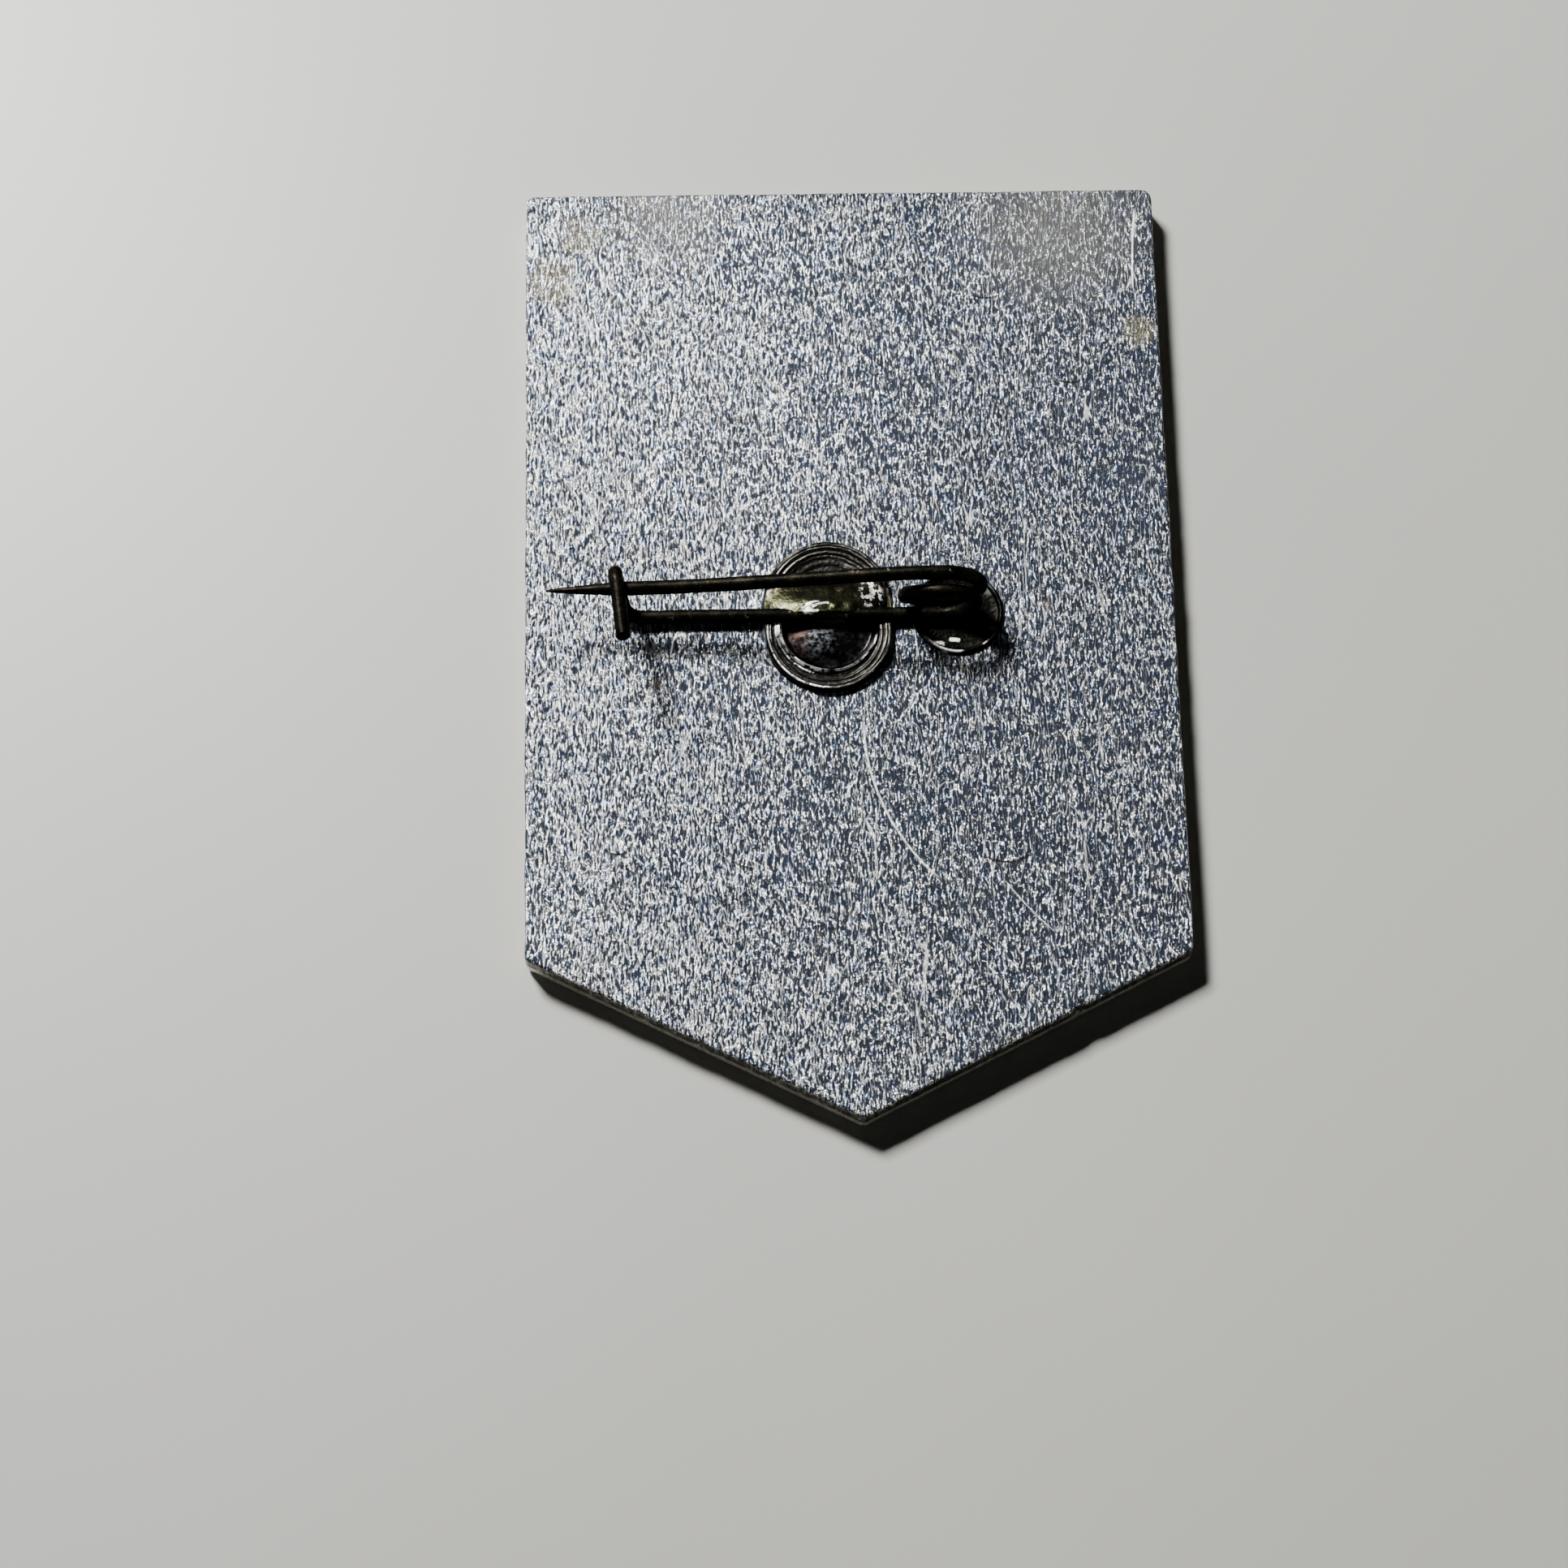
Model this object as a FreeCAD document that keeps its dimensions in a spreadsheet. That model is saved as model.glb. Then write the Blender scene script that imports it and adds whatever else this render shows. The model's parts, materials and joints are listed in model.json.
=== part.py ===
import FreeCAD, Part
import math
import os
import re
import Sketcher

# Enamel badge with a one-piece wire brooch pin on its back.
# Frame: the badge lies on its front. The raised metal lines of the front are the plane z = 0, the back
# is up (+Z), the point of the badge is towards -Y, and the origin is under the middle of the outline.

Vector = FreeCAD.Vector
EAST = Vector(1, 0, 0)
UP = Vector(0, 0, 1)

SIZES = {
    # plate
    "badge_width": 32.0,
    "side_height": 40.9,
    "point_height": 8.1,
    "badge_thickness": 1.8,
    "corner_radius": 0.45,
    "front_edge_radius": 0.4,
    "back_edge_radius": 0.1,
    # enamel cells on the front
    "border_width": 1.1,
    "wall_width": 0.5,
    "cell_depth": 0.45,
    "enamel_recess": 0.05,
    "header_height": 4.6,
    "lozenge_half_width": 3.4,
    "sun_radius": 2.3,
    "sun_across": 8.2,
    "sun_up": 14.3,
    "left_peak_across": 4.6,
    "left_peak_up": 9.6,
    "right_peak_across": 5.4,
    "right_peak_up": 13.4,
    "valley_across": 0.3,
    "valley_up": 4.2,
    "left_foot_up": 0.6,
    "right_foot_up": 2.2,
    "snow_drop": 4.0,
    "left_tongue_aside": 0.6,
    "left_tongue_drop": 3.4,
    "right_tongue_aside": 0.7,
    "right_tongue_drop": 3.2,
    "ridge_foot_aside": 2.0,
    "horizon_up": 2.4,
    "shore_drop": 6.2,
    "band_height": 3.6,
    "foam_height": 2.5,
    # clinch that grips the wire
    "clinch_across": 1.1,
    "clinch_radius": 3.2,
    "clinch_stretch": 1.6,
    "clinch_height": 0.42,
    "clinch_step_in": 0.22,
    "clinch_step_down": 0.08,
    "dish_radius": 2.5,
    "dish_floor": 0.08,
    "crest_height": 0.92,
    "crest_width": 0.5,
    "crest_half_length": 1.74,
    # ring stamped round the foot of the coil
    "seat_radius": 2.25,
    "seat_wall": 0.3,
    "seat_height": 0.2,
    "seat_floor": 0.01,
    "seat_aside": 0.95,
    "seat_raise": 0.2,
    # wire
    "wire_radius": 0.35,
    "wire_lift": 0.4,
    "wire_up": 0.98,
    "grip_bite": 0.01,
    "coil_across": 4.35,
    "coil_rise": 3.9,
    "coil_pitch": 0.8,
    "coil_lean": 0.26,
    "first_turn_drop": 0.5,
    "first_turn_lean": 0.2,
    "coil_split_angle": 22.0,
    "hook_start": 9.0,
    "hook_corner": 11.0,
    "hook_across": 11.5,
    "hook_gap": 0.1,
    "hook_bar_slope": 14.0,
    "hook_bar_reach": 3.25,
    "hook_bar_skew": 0.4,
    "hook_knee_up": 1.7,
    "hook_bend_radius": 0.9,
    "needle_flat": 1.75,
    "needle_bow_radius": 24.0,
    "needle_bend_across": 7.6,
    "needle_bend_drop": 1.35,
    "needle_bend_radius": 60.0,
    "needle_tip_across": 14.9,
    "needle_tip_drop": 1.7,
    "needle_taper": 3.6,
    "needle_tip_radius": 0.04,
}

doc = FreeCAD.newDocument("EnamelBadge")
sheet = doc.addObject("Spreadsheet::Sheet", "Dimensions")
for row, (alias, size) in enumerate(SIZES.items(), start=1):
    sheet.set(f"A{row}", str(size))
    sheet.setAlias(f"A{row}", alias)
doc.recompute()


def expression(text):
    """Turn sheet aliases in the text into full references to the sheet."""
    return re.sub(r"[a-z_]+", lambda word: f"Dimensions.{word[0]}" if word[0] in SIZES else word[0], text)


def value(text):
    """Work out an expression of sheet aliases as a plain number."""
    result = sheet.evalExpression(expression(text))
    return float(getattr(result, "Value", result))


def bind(feature, **properties):
    """Bind properties of a feature to expressions of sheet aliases; a dot is written as two underscores."""
    for name, text in properties.items():
        feature.setExpression(name.replace("__", "."), expression(text))
    return feature


# ---------------------------------------------------------------- lines that the whole part shares

HALF_WIDTH = "( badge_width / 2 )"
TOP = "( ( side_height + point_height ) / 2 )"
TIP = f"( 0 - {TOP} )"
SHOULDER = f"( {TIP} + point_height )"
BEVEL = f"( point_height / {HALF_WIDTH} )"

FIELD_SIDE = f"( {HALF_WIDTH} - border_width )"
FIELD_TOP = f"( {TOP} - border_width )"
FIELD_TIP = f"( {TIP} + border_width * sqrt( 1 + {BEVEL} ^ 2 ) )"
FIELD_SHOULDER = f"( {FIELD_TIP} + {BEVEL} * {FIELD_SIDE} )"


def minus(text):
    return f"( 0 - {text} )"


def closed_sketch(owner, name, points, height="0"):
    """Draw a closed polygon on the XY plane, lifted to a height, each corner bound to two expressions."""
    if owner is None:
        sketch = doc.addObject("Sketcher::SketchObject", name)
        bind(sketch, Placement__Base__z=height)
    else:
        sketch = owner.newObject("Sketcher::SketchObject", name)
        planes = [item for item in owner.Origin.OriginFeatures if item.Role == "XY_Plane"]
        sketch.AttachmentSupport = [(planes[0], "")]
        sketch.MapMode = "FlatFace"
        bind(sketch, AttachmentOffset__Base__z=height)
    corners = [Vector(value(across), value(up), 0) for across, up in points]
    count = len(corners)
    for index in range(count):
        sketch.addGeometry(Part.LineSegment(corners[index], corners[(index + 1) % count]))
    for index in range(count):
        sketch.addConstraint(Sketcher.Constraint("Coincident", index, 2, (index + 1) % count, 1))
    for index, (across, up) in enumerate(points):
        for direction, text, size in (("DistanceX", across, corners[index].x), ("DistanceY", up, corners[index].y)):
            rule = sketch.addConstraint(Sketcher.Constraint(direction, -1, 1, index, 1, size))
            sketch.setExpression(f"Constraints[{rule}]", expression(text))
    return sketch


def edges_where(feature, test):
    """Names of a feature's edges that pass a test on their middle point and direction."""
    names = []
    for index, edge in enumerate(feature.Shape.Edges, start=1):
        middle = edge.valueAt((edge.FirstParameter + edge.LastParameter) / 2)
        if test(middle, edge):
            names.append(f"Edge{index}")
    return names


def cylinder(name, radius, height, across, up, level):
    """Upright cylinder with its foot at a point."""
    feature = doc.addObject("Part::Cylinder", name)
    bind(feature, Radius=radius, Height=height)
    bind(feature, Placement__Base__x=across, Placement__Base__y=up, Placement__Base__z=level)
    return feature


def boolean(kind, name, *parts):
    """Part::Cut takes a base and a tool; Part::MultiFuse and Part::MultiCommon take a list."""
    feature = doc.addObject(kind, name)
    if kind == "Part::Cut":
        feature.Base, feature.Tool = parts
    else:
        feature.Shapes = list(parts)
    return feature


# ---------------------------------------------------------------- plate

def make_plate():
    """The die-struck plate: a rectangle with a blunt point, rounded corners and a softened front edge."""
    body = doc.addObject("PartDesign::Body", "Plate")
    outline = [(minus(HALF_WIDTH), TOP), (minus(HALF_WIDTH), SHOULDER), ("0", TIP), (HALF_WIDTH, SHOULDER),
               (HALF_WIDTH, TOP)]
    sketch = closed_sketch(body, "PlateOutline", outline)
    pad = body.newObject("PartDesign::Pad", "PlatePad")
    pad.Profile = sketch
    bind(pad, Length="badge_thickness")
    doc.recompute()

    corners = body.newObject("PartDesign::Fillet", "PlateCorners")
    corners.Base = (pad, edges_where(pad, lambda middle, edge: abs(edge.tangentAt(0).z) > 0.9))
    bind(corners, Radius="corner_radius")
    doc.recompute()

    front = body.newObject("PartDesign::Fillet", "FrontEdge")
    front.Base = (corners, edges_where(corners, lambda middle, edge: middle.z < 0.001)[:1])
    bind(front, Radius="front_edge_radius")
    doc.recompute()

    back_level = value("badge_thickness")
    back = body.newObject("PartDesign::Fillet", "BackEdge")
    back.Base = (front, edges_where(front, lambda middle, edge: abs(middle.z - back_level) < 0.001)[:1])
    bind(back, Radius="back_edge_radius")
    doc.recompute()
    return body


# ---------------------------------------------------------------- enamel cells of the front

HEADER_FOOT = f"( {FIELD_TOP} - header_height )"
LEFT_PEAK = (minus("left_peak_across"), "left_peak_up")
RIGHT_PEAK = ("right_peak_across", "right_peak_up")
VALLEY = ("valley_across", "valley_up")
LEFT_FOOT = (minus(FIELD_SIDE), "left_foot_up")
RIGHT_FOOT = (FIELD_SIDE, "right_foot_up")
HORIZON = "( 0 - horizon_up )"


def down_slope(peak, foot, drop):
    """Point on the straight slope from a peak to a foot, a drop below the peak."""
    share = f"( ( {drop} ) / ( {peak[1]} - {foot[1]} ) )"
    return (f"( {peak[0]} + ( {foot[0]} - {peak[0]} ) * {share} )", f"( {peak[1]} - {drop} )")


def under(peak, aside, drop):
    """Point beside and below a peak."""
    return (f"( {peak[0]} + {aside} )", f"( {peak[1]} - {drop} )")


def chevron(level):
    """Left end, point and right end of a line that runs parallel to the badge's lower edges."""
    return [(minus(FIELD_SIDE), level), ("0", f"( {level} - {BEVEL} * {FIELD_SIDE} )"), (FIELD_SIDE, level)]


def cell_outlines():
    """Corner points of each cell, up to the middle lines of the metal walls that divide them."""
    top_left, top_right = (minus(FIELD_SIDE), FIELD_TOP), (FIELD_SIDE, FIELD_TOP)
    foot_left, foot_right = (minus(FIELD_SIDE), HEADER_FOOT), (FIELD_SIDE, HEADER_FOOT)
    lozenge_top, lozenge_foot = ("0", FIELD_TOP), ("0", HEADER_FOOT)
    header_middle = f"( {HEADER_FOOT} + header_height / 2 )"
    lozenge_left = (minus("lozenge_half_width"), header_middle)
    lozenge_right = ("lozenge_half_width", header_middle)

    left_ridge = under(LEFT_PEAK, "left_tongue_aside", "left_tongue_drop")
    right_ridge = under(RIGHT_PEAK, "right_tongue_aside", "right_tongue_drop")
    left_ridge_foot = (LEFT_PEAK[0], HORIZON)
    right_ridge_foot = ("( right_peak_across + ridge_foot_aside )", HORIZON)
    left_snow = [down_slope(LEFT_PEAK, LEFT_FOOT, "snow_drop"), left_ridge, down_slope(LEFT_PEAK, VALLEY, "snow_drop")]
    right_snow = [down_slope(RIGHT_PEAK, VALLEY, "snow_drop"), right_ridge,
                  down_slope(RIGHT_PEAK, RIGHT_FOOT, "snow_drop")]
    horizon_left, horizon_right = (minus(FIELD_SIDE), HORIZON), (FIELD_SIDE, HORIZON)
    valley_foot = (VALLEY[0], HORIZON)

    shore = chevron("( 0 - shore_drop )")
    foam_top = chevron("( 0 - shore_drop - band_height )")
    foam_foot = chevron("( 0 - shore_drop - band_height - foam_height )")
    return {
        "enamel_header_left": [top_left, foot_left, lozenge_foot, lozenge_left, lozenge_top],
        "enamel_header_lozenge": [lozenge_top, lozenge_left, lozenge_foot, lozenge_right],
        "enamel_header_right": [top_right, lozenge_top, lozenge_right, lozenge_foot, foot_right],
        "enamel_sky": [foot_left, LEFT_FOOT, LEFT_PEAK, VALLEY, RIGHT_PEAK, RIGHT_FOOT, foot_right],
        "enamel_snow_left": [LEFT_PEAK] + left_snow,
        "enamel_snow_right": [RIGHT_PEAK] + right_snow,
        "enamel_slope_left_lit": [LEFT_FOOT, horizon_left, left_ridge_foot, left_ridge, left_snow[0]],
        "enamel_slope_left_shade": [left_ridge, left_ridge_foot, valley_foot, VALLEY, left_snow[2]],
        "enamel_slope_right_lit": [VALLEY, valley_foot, right_ridge_foot, right_ridge, right_snow[0]],
        "enamel_slope_right_shade": [right_ridge, right_ridge_foot, horizon_right, RIGHT_FOOT, right_snow[2]],
        "enamel_meadow": [horizon_left] + shore + [horizon_right],
        "enamel_river_upper": shore + foam_top[::-1],
        "enamel_river_foam": foam_top + foam_foot[::-1],
        "enamel_river_lower": foam_foot + [(FIELD_SIDE, FIELD_SHOULDER), ("0", FIELD_TIP),
                                           (minus(FIELD_SIDE), FIELD_SHOULDER)],
    }


def cell_solid(name, outline, start):
    """Prism inside an outline, from a start distance below the enamel's face up to the floor of the cell."""
    extrusion = doc.addObject("Part::Extrusion", name)
    extrusion.Base = outline
    extrusion.DirMode = "Custom"
    extrusion.Dir = UP
    extrusion.Solid = True
    bind(extrusion, LengthFwd="cell_depth - enamel_recess", LengthRev=start)
    return extrusion


def make_cells():
    """Cutters and enamel fills: each fill is glazed into its own cell, just below the metal lines."""
    cutters, fills = {}, {}
    for label, points in cell_outlines().items():
        name = label.title().replace("_", "")
        sketch = closed_sketch(None, name + "Outline", points, "enamel_recess")
        inset = doc.addObject("Part::Offset2D", name + "Inset")
        inset.Source = sketch
        inset.Join = 2
        bind(inset, Value="0 - wall_width / 2")
        cutters[label] = cell_solid(name + "Cutter", inset, "2 * enamel_recess")
        fills[label] = cell_solid(name, inset, "0")
    return cutters, fills


def add_sun(cutters, fills):
    """The round sun stands in the sky inside its own ring of metal."""
    across, up = minus("sun_across"), "sun_up"
    full_depth = "cell_depth + enamel_recess"
    ring = cylinder("SunRing", "sun_radius + wall_width", full_depth, across, up, "0 - enamel_recess")
    for cells, name in ((cutters, "SkyCutter"), (fills, "SkyFill")):
        cells["enamel_sky"] = boolean("Part::Cut", name, cells["enamel_sky"], ring)
    cutters["enamel_sun"] = cylinder("SunCutter", "sun_radius", full_depth, across, up, "0 - enamel_recess")
    fills["enamel_sun"] = cylinder("SunFill", "sun_radius", "cell_depth - enamel_recess", across, up,
                                   "enamel_recess")


# ---------------------------------------------------------------- clinch and coil seat on the back

WIRE_LEVEL = "( badge_thickness + wire_lift )"
CLINCH_MIDDLE = "( 0 - clinch_across )"


def stadium(name, radius, level, height):
    """Upright prism with two round ends, stretched across the wire."""
    north_end = "( wire_up + clinch_stretch / 2 )"
    south_end = "( wire_up - clinch_stretch / 2 )"
    ends = [cylinder(name + side, radius, height, CLINCH_MIDDLE, up, level)
            for side, up in (("North", north_end), ("South", south_end))]
    middle = doc.addObject("Part::Box", name + "Middle")
    bind(middle, Length=f"2 * ( {radius} )", Width="clinch_stretch", Height=height,
         Placement__Base__x=f"{CLINCH_MIDDLE} - ( {radius} )", Placement__Base__y=south_end,
         Placement__Base__z=level)
    return boolean("Part::MultiFuse", name, *ends, middle)


def make_clinch():
    """Raised boss with stepped rims and two sloping dishes that meet in a crest folded over the wire."""
    root = "badge_thickness / 2"
    clinch = stadium("Boss", "clinch_radius", root, "badge_thickness / 2 + clinch_height")
    for step in (1, 2):
        rim = stadium(f"Step{step}", f"clinch_radius - {step} * clinch_step_in",
                      f"badge_thickness + clinch_height - {step} * clinch_step_down", "clinch_height")
        clinch = boolean("Part::Cut", f"BossStep{step}", clinch, rim)
    dish = stadium("Dish", "dish_radius", "badge_thickness + dish_floor", "clinch_height")
    clinch = boolean("Part::Cut", "BossDish", clinch, dish)

    ridge = doc.addObject("Part::Wedge", "Ridge")
    ridge_foot = "( dish_radius + clinch_stretch / 2 )"
    bind(ridge, Xmin=f"{CLINCH_MIDDLE} - dish_radius", Xmax=f"{CLINCH_MIDDLE} + dish_radius",
         Zmin=f"wire_up - {ridge_foot}", Zmax=f"wire_up + {ridge_foot}",
         Ymin="0", Ymax="crest_height - dish_floor",
         X2min=f"{CLINCH_MIDDLE} - crest_half_length", X2max=f"{CLINCH_MIDDLE} + crest_half_length",
         Z2min="wire_up - crest_width / 2", Z2max="wire_up + crest_width / 2")
    # The wedge is built with its height along Y; a turn about X by 90 degrees stands it up, mirrored in Y.
    ridge.Placement.Rotation = FreeCAD.Rotation(EAST, 90)
    bind(ridge, Placement__Base__z="badge_thickness + dish_floor", Placement__Base__y="2 * wire_up")
    mask = stadium("RidgeMask", "dish_radius", "badge_thickness", "crest_height")
    facets = boolean("Part::MultiCommon", "RidgeFacets", ridge, mask)
    return boolean("Part::MultiFuse", "Clinch", clinch, facets)


def make_seat():
    """Low ring round the foot of the coil."""
    across, up, root = "coil_across + seat_aside", "wire_up + seat_raise", "badge_thickness / 2"
    disc = cylinder("SeatDisc", "seat_radius", "badge_thickness / 2 + seat_height", across, up, root)
    hollow = cylinder("SeatHollow", "seat_radius - seat_wall", "seat_height", across, up,
                      "badge_thickness + seat_floor")
    return boolean("Part::Cut", "CoilSeat", disc, hollow)


def make_badge_body(plate, cutters):
    """The plate with its cells cut out of the front and the two stamped features raised on the back."""
    struck = boolean("Part::MultiFuse", "StruckPlate", plate, make_clinch(), make_seat())
    cells = boolean("Part::MultiFuse", "Cells", *cutters.values())
    engraved = boolean("Part::Cut", "EngravedPlate", struck, cells)
    channel = wire_run("WireChannel", "wire_radius - grip_bite")
    return boolean("Part::Cut", "BadgeBody", engraved, channel)


# ---------------------------------------------------------------- wire

def wire_run(name, radius):
    """Straight wire from the hook to the foot of the coil."""
    run = doc.addObject("Part::Cylinder", name)
    run.Placement.Rotation = FreeCAD.Rotation(UP, EAST)
    bind(run, Radius=radius, Height="hook_start + coil_across", Placement__Base__x="0 - hook_start",
         Placement__Base__y="wire_up", Placement__Base__z=WIRE_LEVEL)
    return run


def swept_wire(name, edges):
    """Round wire swept along a path of lines and arcs that run smoothly into each other."""
    path = doc.addObject("Part::Feature", name + "Path")
    path.Shape = Part.Wire(edges)
    start = edges[0].valueAt(edges[0].FirstParameter)
    section = doc.addObject("Part::Circle", name + "Section")
    bind(section, Radius="wire_radius")
    section.Placement = FreeCAD.Placement(start, FreeCAD.Rotation(UP, edges[0].tangentAt(edges[0].FirstParameter)))
    sweep = doc.addObject("Part::Sweep", name)
    sweep.Sections = [section]
    sweep.Spine = (path, [f"Edge{index}" for index in range(1, len(edges) + 1)])
    sweep.Solid = True
    sweep.Frenet = False
    return sweep


def arc_about(start, direction, end):
    """Arc that leaves a start point in a direction and ends at an end point."""
    chord = end - start
    side = chord - direction * chord.dot(direction)
    side.normalize()
    radius = chord.dot(chord) / (2 * chord.dot(side))
    centre = start + side * radius
    away = start + end - centre * 2
    if away.Length < 1e-6 * radius:
        away = Vector(direction)
    away.normalize()
    return Part.Arc(start, centre + away * radius, end).toShape()


def rounded_path(points, radii):
    """Straight runs between points, with an arc of the given radius tangent to both runs at each inner point."""
    edges, start = [], points[0]
    for before, corner, after, radius in zip(points, points[1:], points[2:], radii):
        come, leave = (corner - before).normalize(), (after - corner).normalize()
        setback = radius * math.tan(come.getAngle(leave) / 2)
        arc_start, arc_end = corner - come * setback, corner + leave * setback
        if (arc_start - start).Length > 1e-4:
            edges.append(Part.LineSegment(start, arc_start).toShape())
        edges.append(arc_about(arc_start, come, arc_end))
        start = arc_end
    edges.append(Part.LineSegment(start, points[-1]).toShape())
    return edges


def coil_stations():
    """Bottom and top points of the coil's centre line, in the order in which the wire passes them."""
    across, foot = value("coil_across"), value(WIRE_LEVEL)
    top, first_top = foot + value("coil_rise"), foot + value("coil_rise - first_turn_drop")
    up, pitch, lean = value("wire_up"), value("coil_pitch"), value("coil_lean")
    return [Vector(across, up, foot), Vector(across, up - value("first_turn_lean"), first_top),
            Vector(across, up + pitch, foot), Vector(across, up + pitch - lean, top)]


def coil_split():
    """Point near the end of the last half turn where the moving wire starts, and the wire's direction there."""
    foot, top = coil_stations()[2:]
    upward, angle = (top - foot).normalize(), math.radians(value("coil_split_angle"))
    middle, radius = (foot + top) / 2, (top - foot).Length / 2
    point = middle + (upward * math.cos(angle) + EAST * math.sin(angle)) * radius
    return point, upward * math.sin(angle) - EAST * math.cos(angle)


def make_coil():
    """Almost one and a half turns: half circles, each from the coil's foot to its top or back."""
    stations = coil_stations()[:3] + [coil_split()[0]]
    edges, direction = [], EAST
    for start, end in zip(stations, stations[1:]):
        edges.append(arc_about(start, direction, end))
        direction = direction * -1
    return swept_wire("SpringCoil", edges)


def needle_points():
    """Centre line of the needle, from the top of the coil to the tip, in the plane of the coil's last turn."""
    start = coil_stations()[-1]
    bow = start - EAST * value("needle_flat")
    bend = Vector(0 - value("needle_bend_across"), start.y, start.z - value("needle_bend_drop"))
    tip = Vector(0 - value("needle_tip_across"), start.y, start.z - value("needle_tip_drop"))
    return [start, bow, bend, tip]


def make_needle():
    """The end of the coil's last turn, the bowed shank and a ground conical point."""
    start, bow, bend, tip = needle_points()
    along = (tip - bend).normalize()
    taper_start = tip - along * value("needle_taper")
    radii = [value("needle_bow_radius"), value("needle_bend_radius")]
    split, direction = coil_split()
    edges = [arc_about(split, direction, start)] + rounded_path([start, bow, bend, taper_start], radii)
    shank = swept_wire("NeedleShank", edges)
    point = doc.addObject("Part::Cone", "NeedlePoint")
    bind(point, Radius1="wire_radius", Radius2="needle_tip_radius", Height="needle_taper")
    point.Placement = FreeCAD.Placement(taper_start, FreeCAD.Rotation(UP, along))
    return boolean("Part::MultiFuse", "Needle", shank, point)


def make_hook():
    """The wire's end bent up from the base run, round behind the needle and over it to a cut free end."""
    foot, base_up = value(WIRE_LEVEL), value("wire_up")
    _, _, bend, tip = needle_points()
    across = 0 - value("hook_across")
    share = (across - bend.x) / (tip.x - bend.x)
    needle = bend + (tip - bend) * share
    loop_radius = value("2 * wire_radius + hook_gap")
    slope = math.radians(value("hook_bar_slope"))
    # The riser stands a loop radius behind the needle, and the bar passes a loop radius over it.
    behind = needle.y + loop_radius
    turn_level = needle.z + loop_radius * (1 - math.sin(slope)) / math.cos(slope)
    reach = value("hook_bar_reach") + loop_radius
    start = Vector(0 - value("hook_start"), base_up, foot)
    corner = Vector(0 - value("hook_corner"), base_up, foot)
    knee = Vector(across, behind, foot + value("hook_knee_up"))
    turn = Vector(across, behind, turn_level)
    free_end = Vector(across + value("hook_bar_skew"), behind - reach, turn_level + reach * math.tan(slope))
    bend_radius = value("hook_bend_radius")
    radii = [bend_radius, bend_radius, loop_radius]
    return swept_wire("CatchHook", rounded_path([start, corner, knee, turn, free_end], radii))


# ---------------------------------------------------------------- build, check and write

cell_cutters, parts = make_cells()
add_sun(cell_cutters, parts)
parts["badge_body"] = make_badge_body(make_plate(), cell_cutters)
parts["pin_base_wire"] = wire_run("BaseWire", "wire_radius")
parts["pin_spring_coil"] = make_coil()
parts["pin_catch_hook"] = make_hook()
parts["pin_needle"] = make_needle()
for node, feature in parts.items():
    feature.Label = node
doc.recompute()

for feature in doc.Objects:
    if "Invalid" in feature.State or "Error" in feature.State:
        raise RuntimeError(f"{feature.Name} failed: {feature.State}")

section_area = math.pi * value("wire_radius") ** 2
for name in ("SpringCoil", "CatchHook", "NeedleShank"):
    ratio = doc.getObject(name).Shape.Volume / (section_area * doc.getObject(name + "Path").Shape.Length)
    if abs(ratio - 1) > 0.01:
        raise RuntimeError(f"{name} has {ratio:.3f} of the volume of its wire")

fill_volume = sum(feature.Shape.Volume for label, feature in parts.items() if label.startswith("enamel"))
cut_volume = doc.getObject("StruckPlate").Shape.Volume - doc.getObject("EngravedPlate").Shape.Volume
if cut_volume < fill_volume:
    raise RuntimeError("the enamel fills are larger than the cells cut for them")

os.makedirs("parts", exist_ok=True)
for node, feature in parts.items():
    shape = feature.Shape
    if shape.isNull() or not shape.isValid() or len(shape.Solids) != 1:
        raise RuntimeError(f"{node} is not one valid solid")
    shape.exportStep(f"parts/{node}.step")
    box = shape.BoundBox
    print(f"{node:26s} volume {shape.Volume:9.3f}  x {box.XMin:7.2f} {box.XMax:7.2f}"
          f"  y {box.YMin:7.2f} {box.YMax:7.2f}  z {box.ZMin:6.2f} {box.ZMax:6.2f}")

pivot, turn_axis = coil_split()
print(f"needle turns about {pivot.x:.4f} {pivot.y:.4f} {pivot.z:.4f} mm, "
      f"along {turn_axis.x:.6f} {turn_axis.y:.6f} {turn_axis.z:.6f}")
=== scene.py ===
import json
import math

import bmesh
import bpy
import numpy as np
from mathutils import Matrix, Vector


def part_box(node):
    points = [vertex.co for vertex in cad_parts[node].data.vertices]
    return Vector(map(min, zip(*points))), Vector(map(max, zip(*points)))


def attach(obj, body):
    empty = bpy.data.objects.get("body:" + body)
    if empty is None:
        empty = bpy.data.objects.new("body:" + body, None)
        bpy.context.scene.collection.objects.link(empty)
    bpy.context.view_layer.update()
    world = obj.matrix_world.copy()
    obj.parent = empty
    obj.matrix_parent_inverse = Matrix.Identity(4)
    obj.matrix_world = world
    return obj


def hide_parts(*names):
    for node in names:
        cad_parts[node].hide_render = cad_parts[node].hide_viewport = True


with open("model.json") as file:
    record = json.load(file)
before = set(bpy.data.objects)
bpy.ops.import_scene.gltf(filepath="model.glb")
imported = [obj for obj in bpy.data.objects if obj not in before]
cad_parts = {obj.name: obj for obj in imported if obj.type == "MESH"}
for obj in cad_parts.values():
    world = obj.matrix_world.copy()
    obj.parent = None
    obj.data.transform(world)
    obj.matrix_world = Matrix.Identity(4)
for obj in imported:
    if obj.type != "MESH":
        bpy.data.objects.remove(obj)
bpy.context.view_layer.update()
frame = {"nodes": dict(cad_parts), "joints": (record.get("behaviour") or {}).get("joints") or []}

# Enamel badge lying on its front, with a one-piece wire brooch pin on its back.
# Sizes are in millimetres in the CAD model's frame: +Z up out of the back, the badge's point towards -Y.

MM = 0.001


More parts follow.
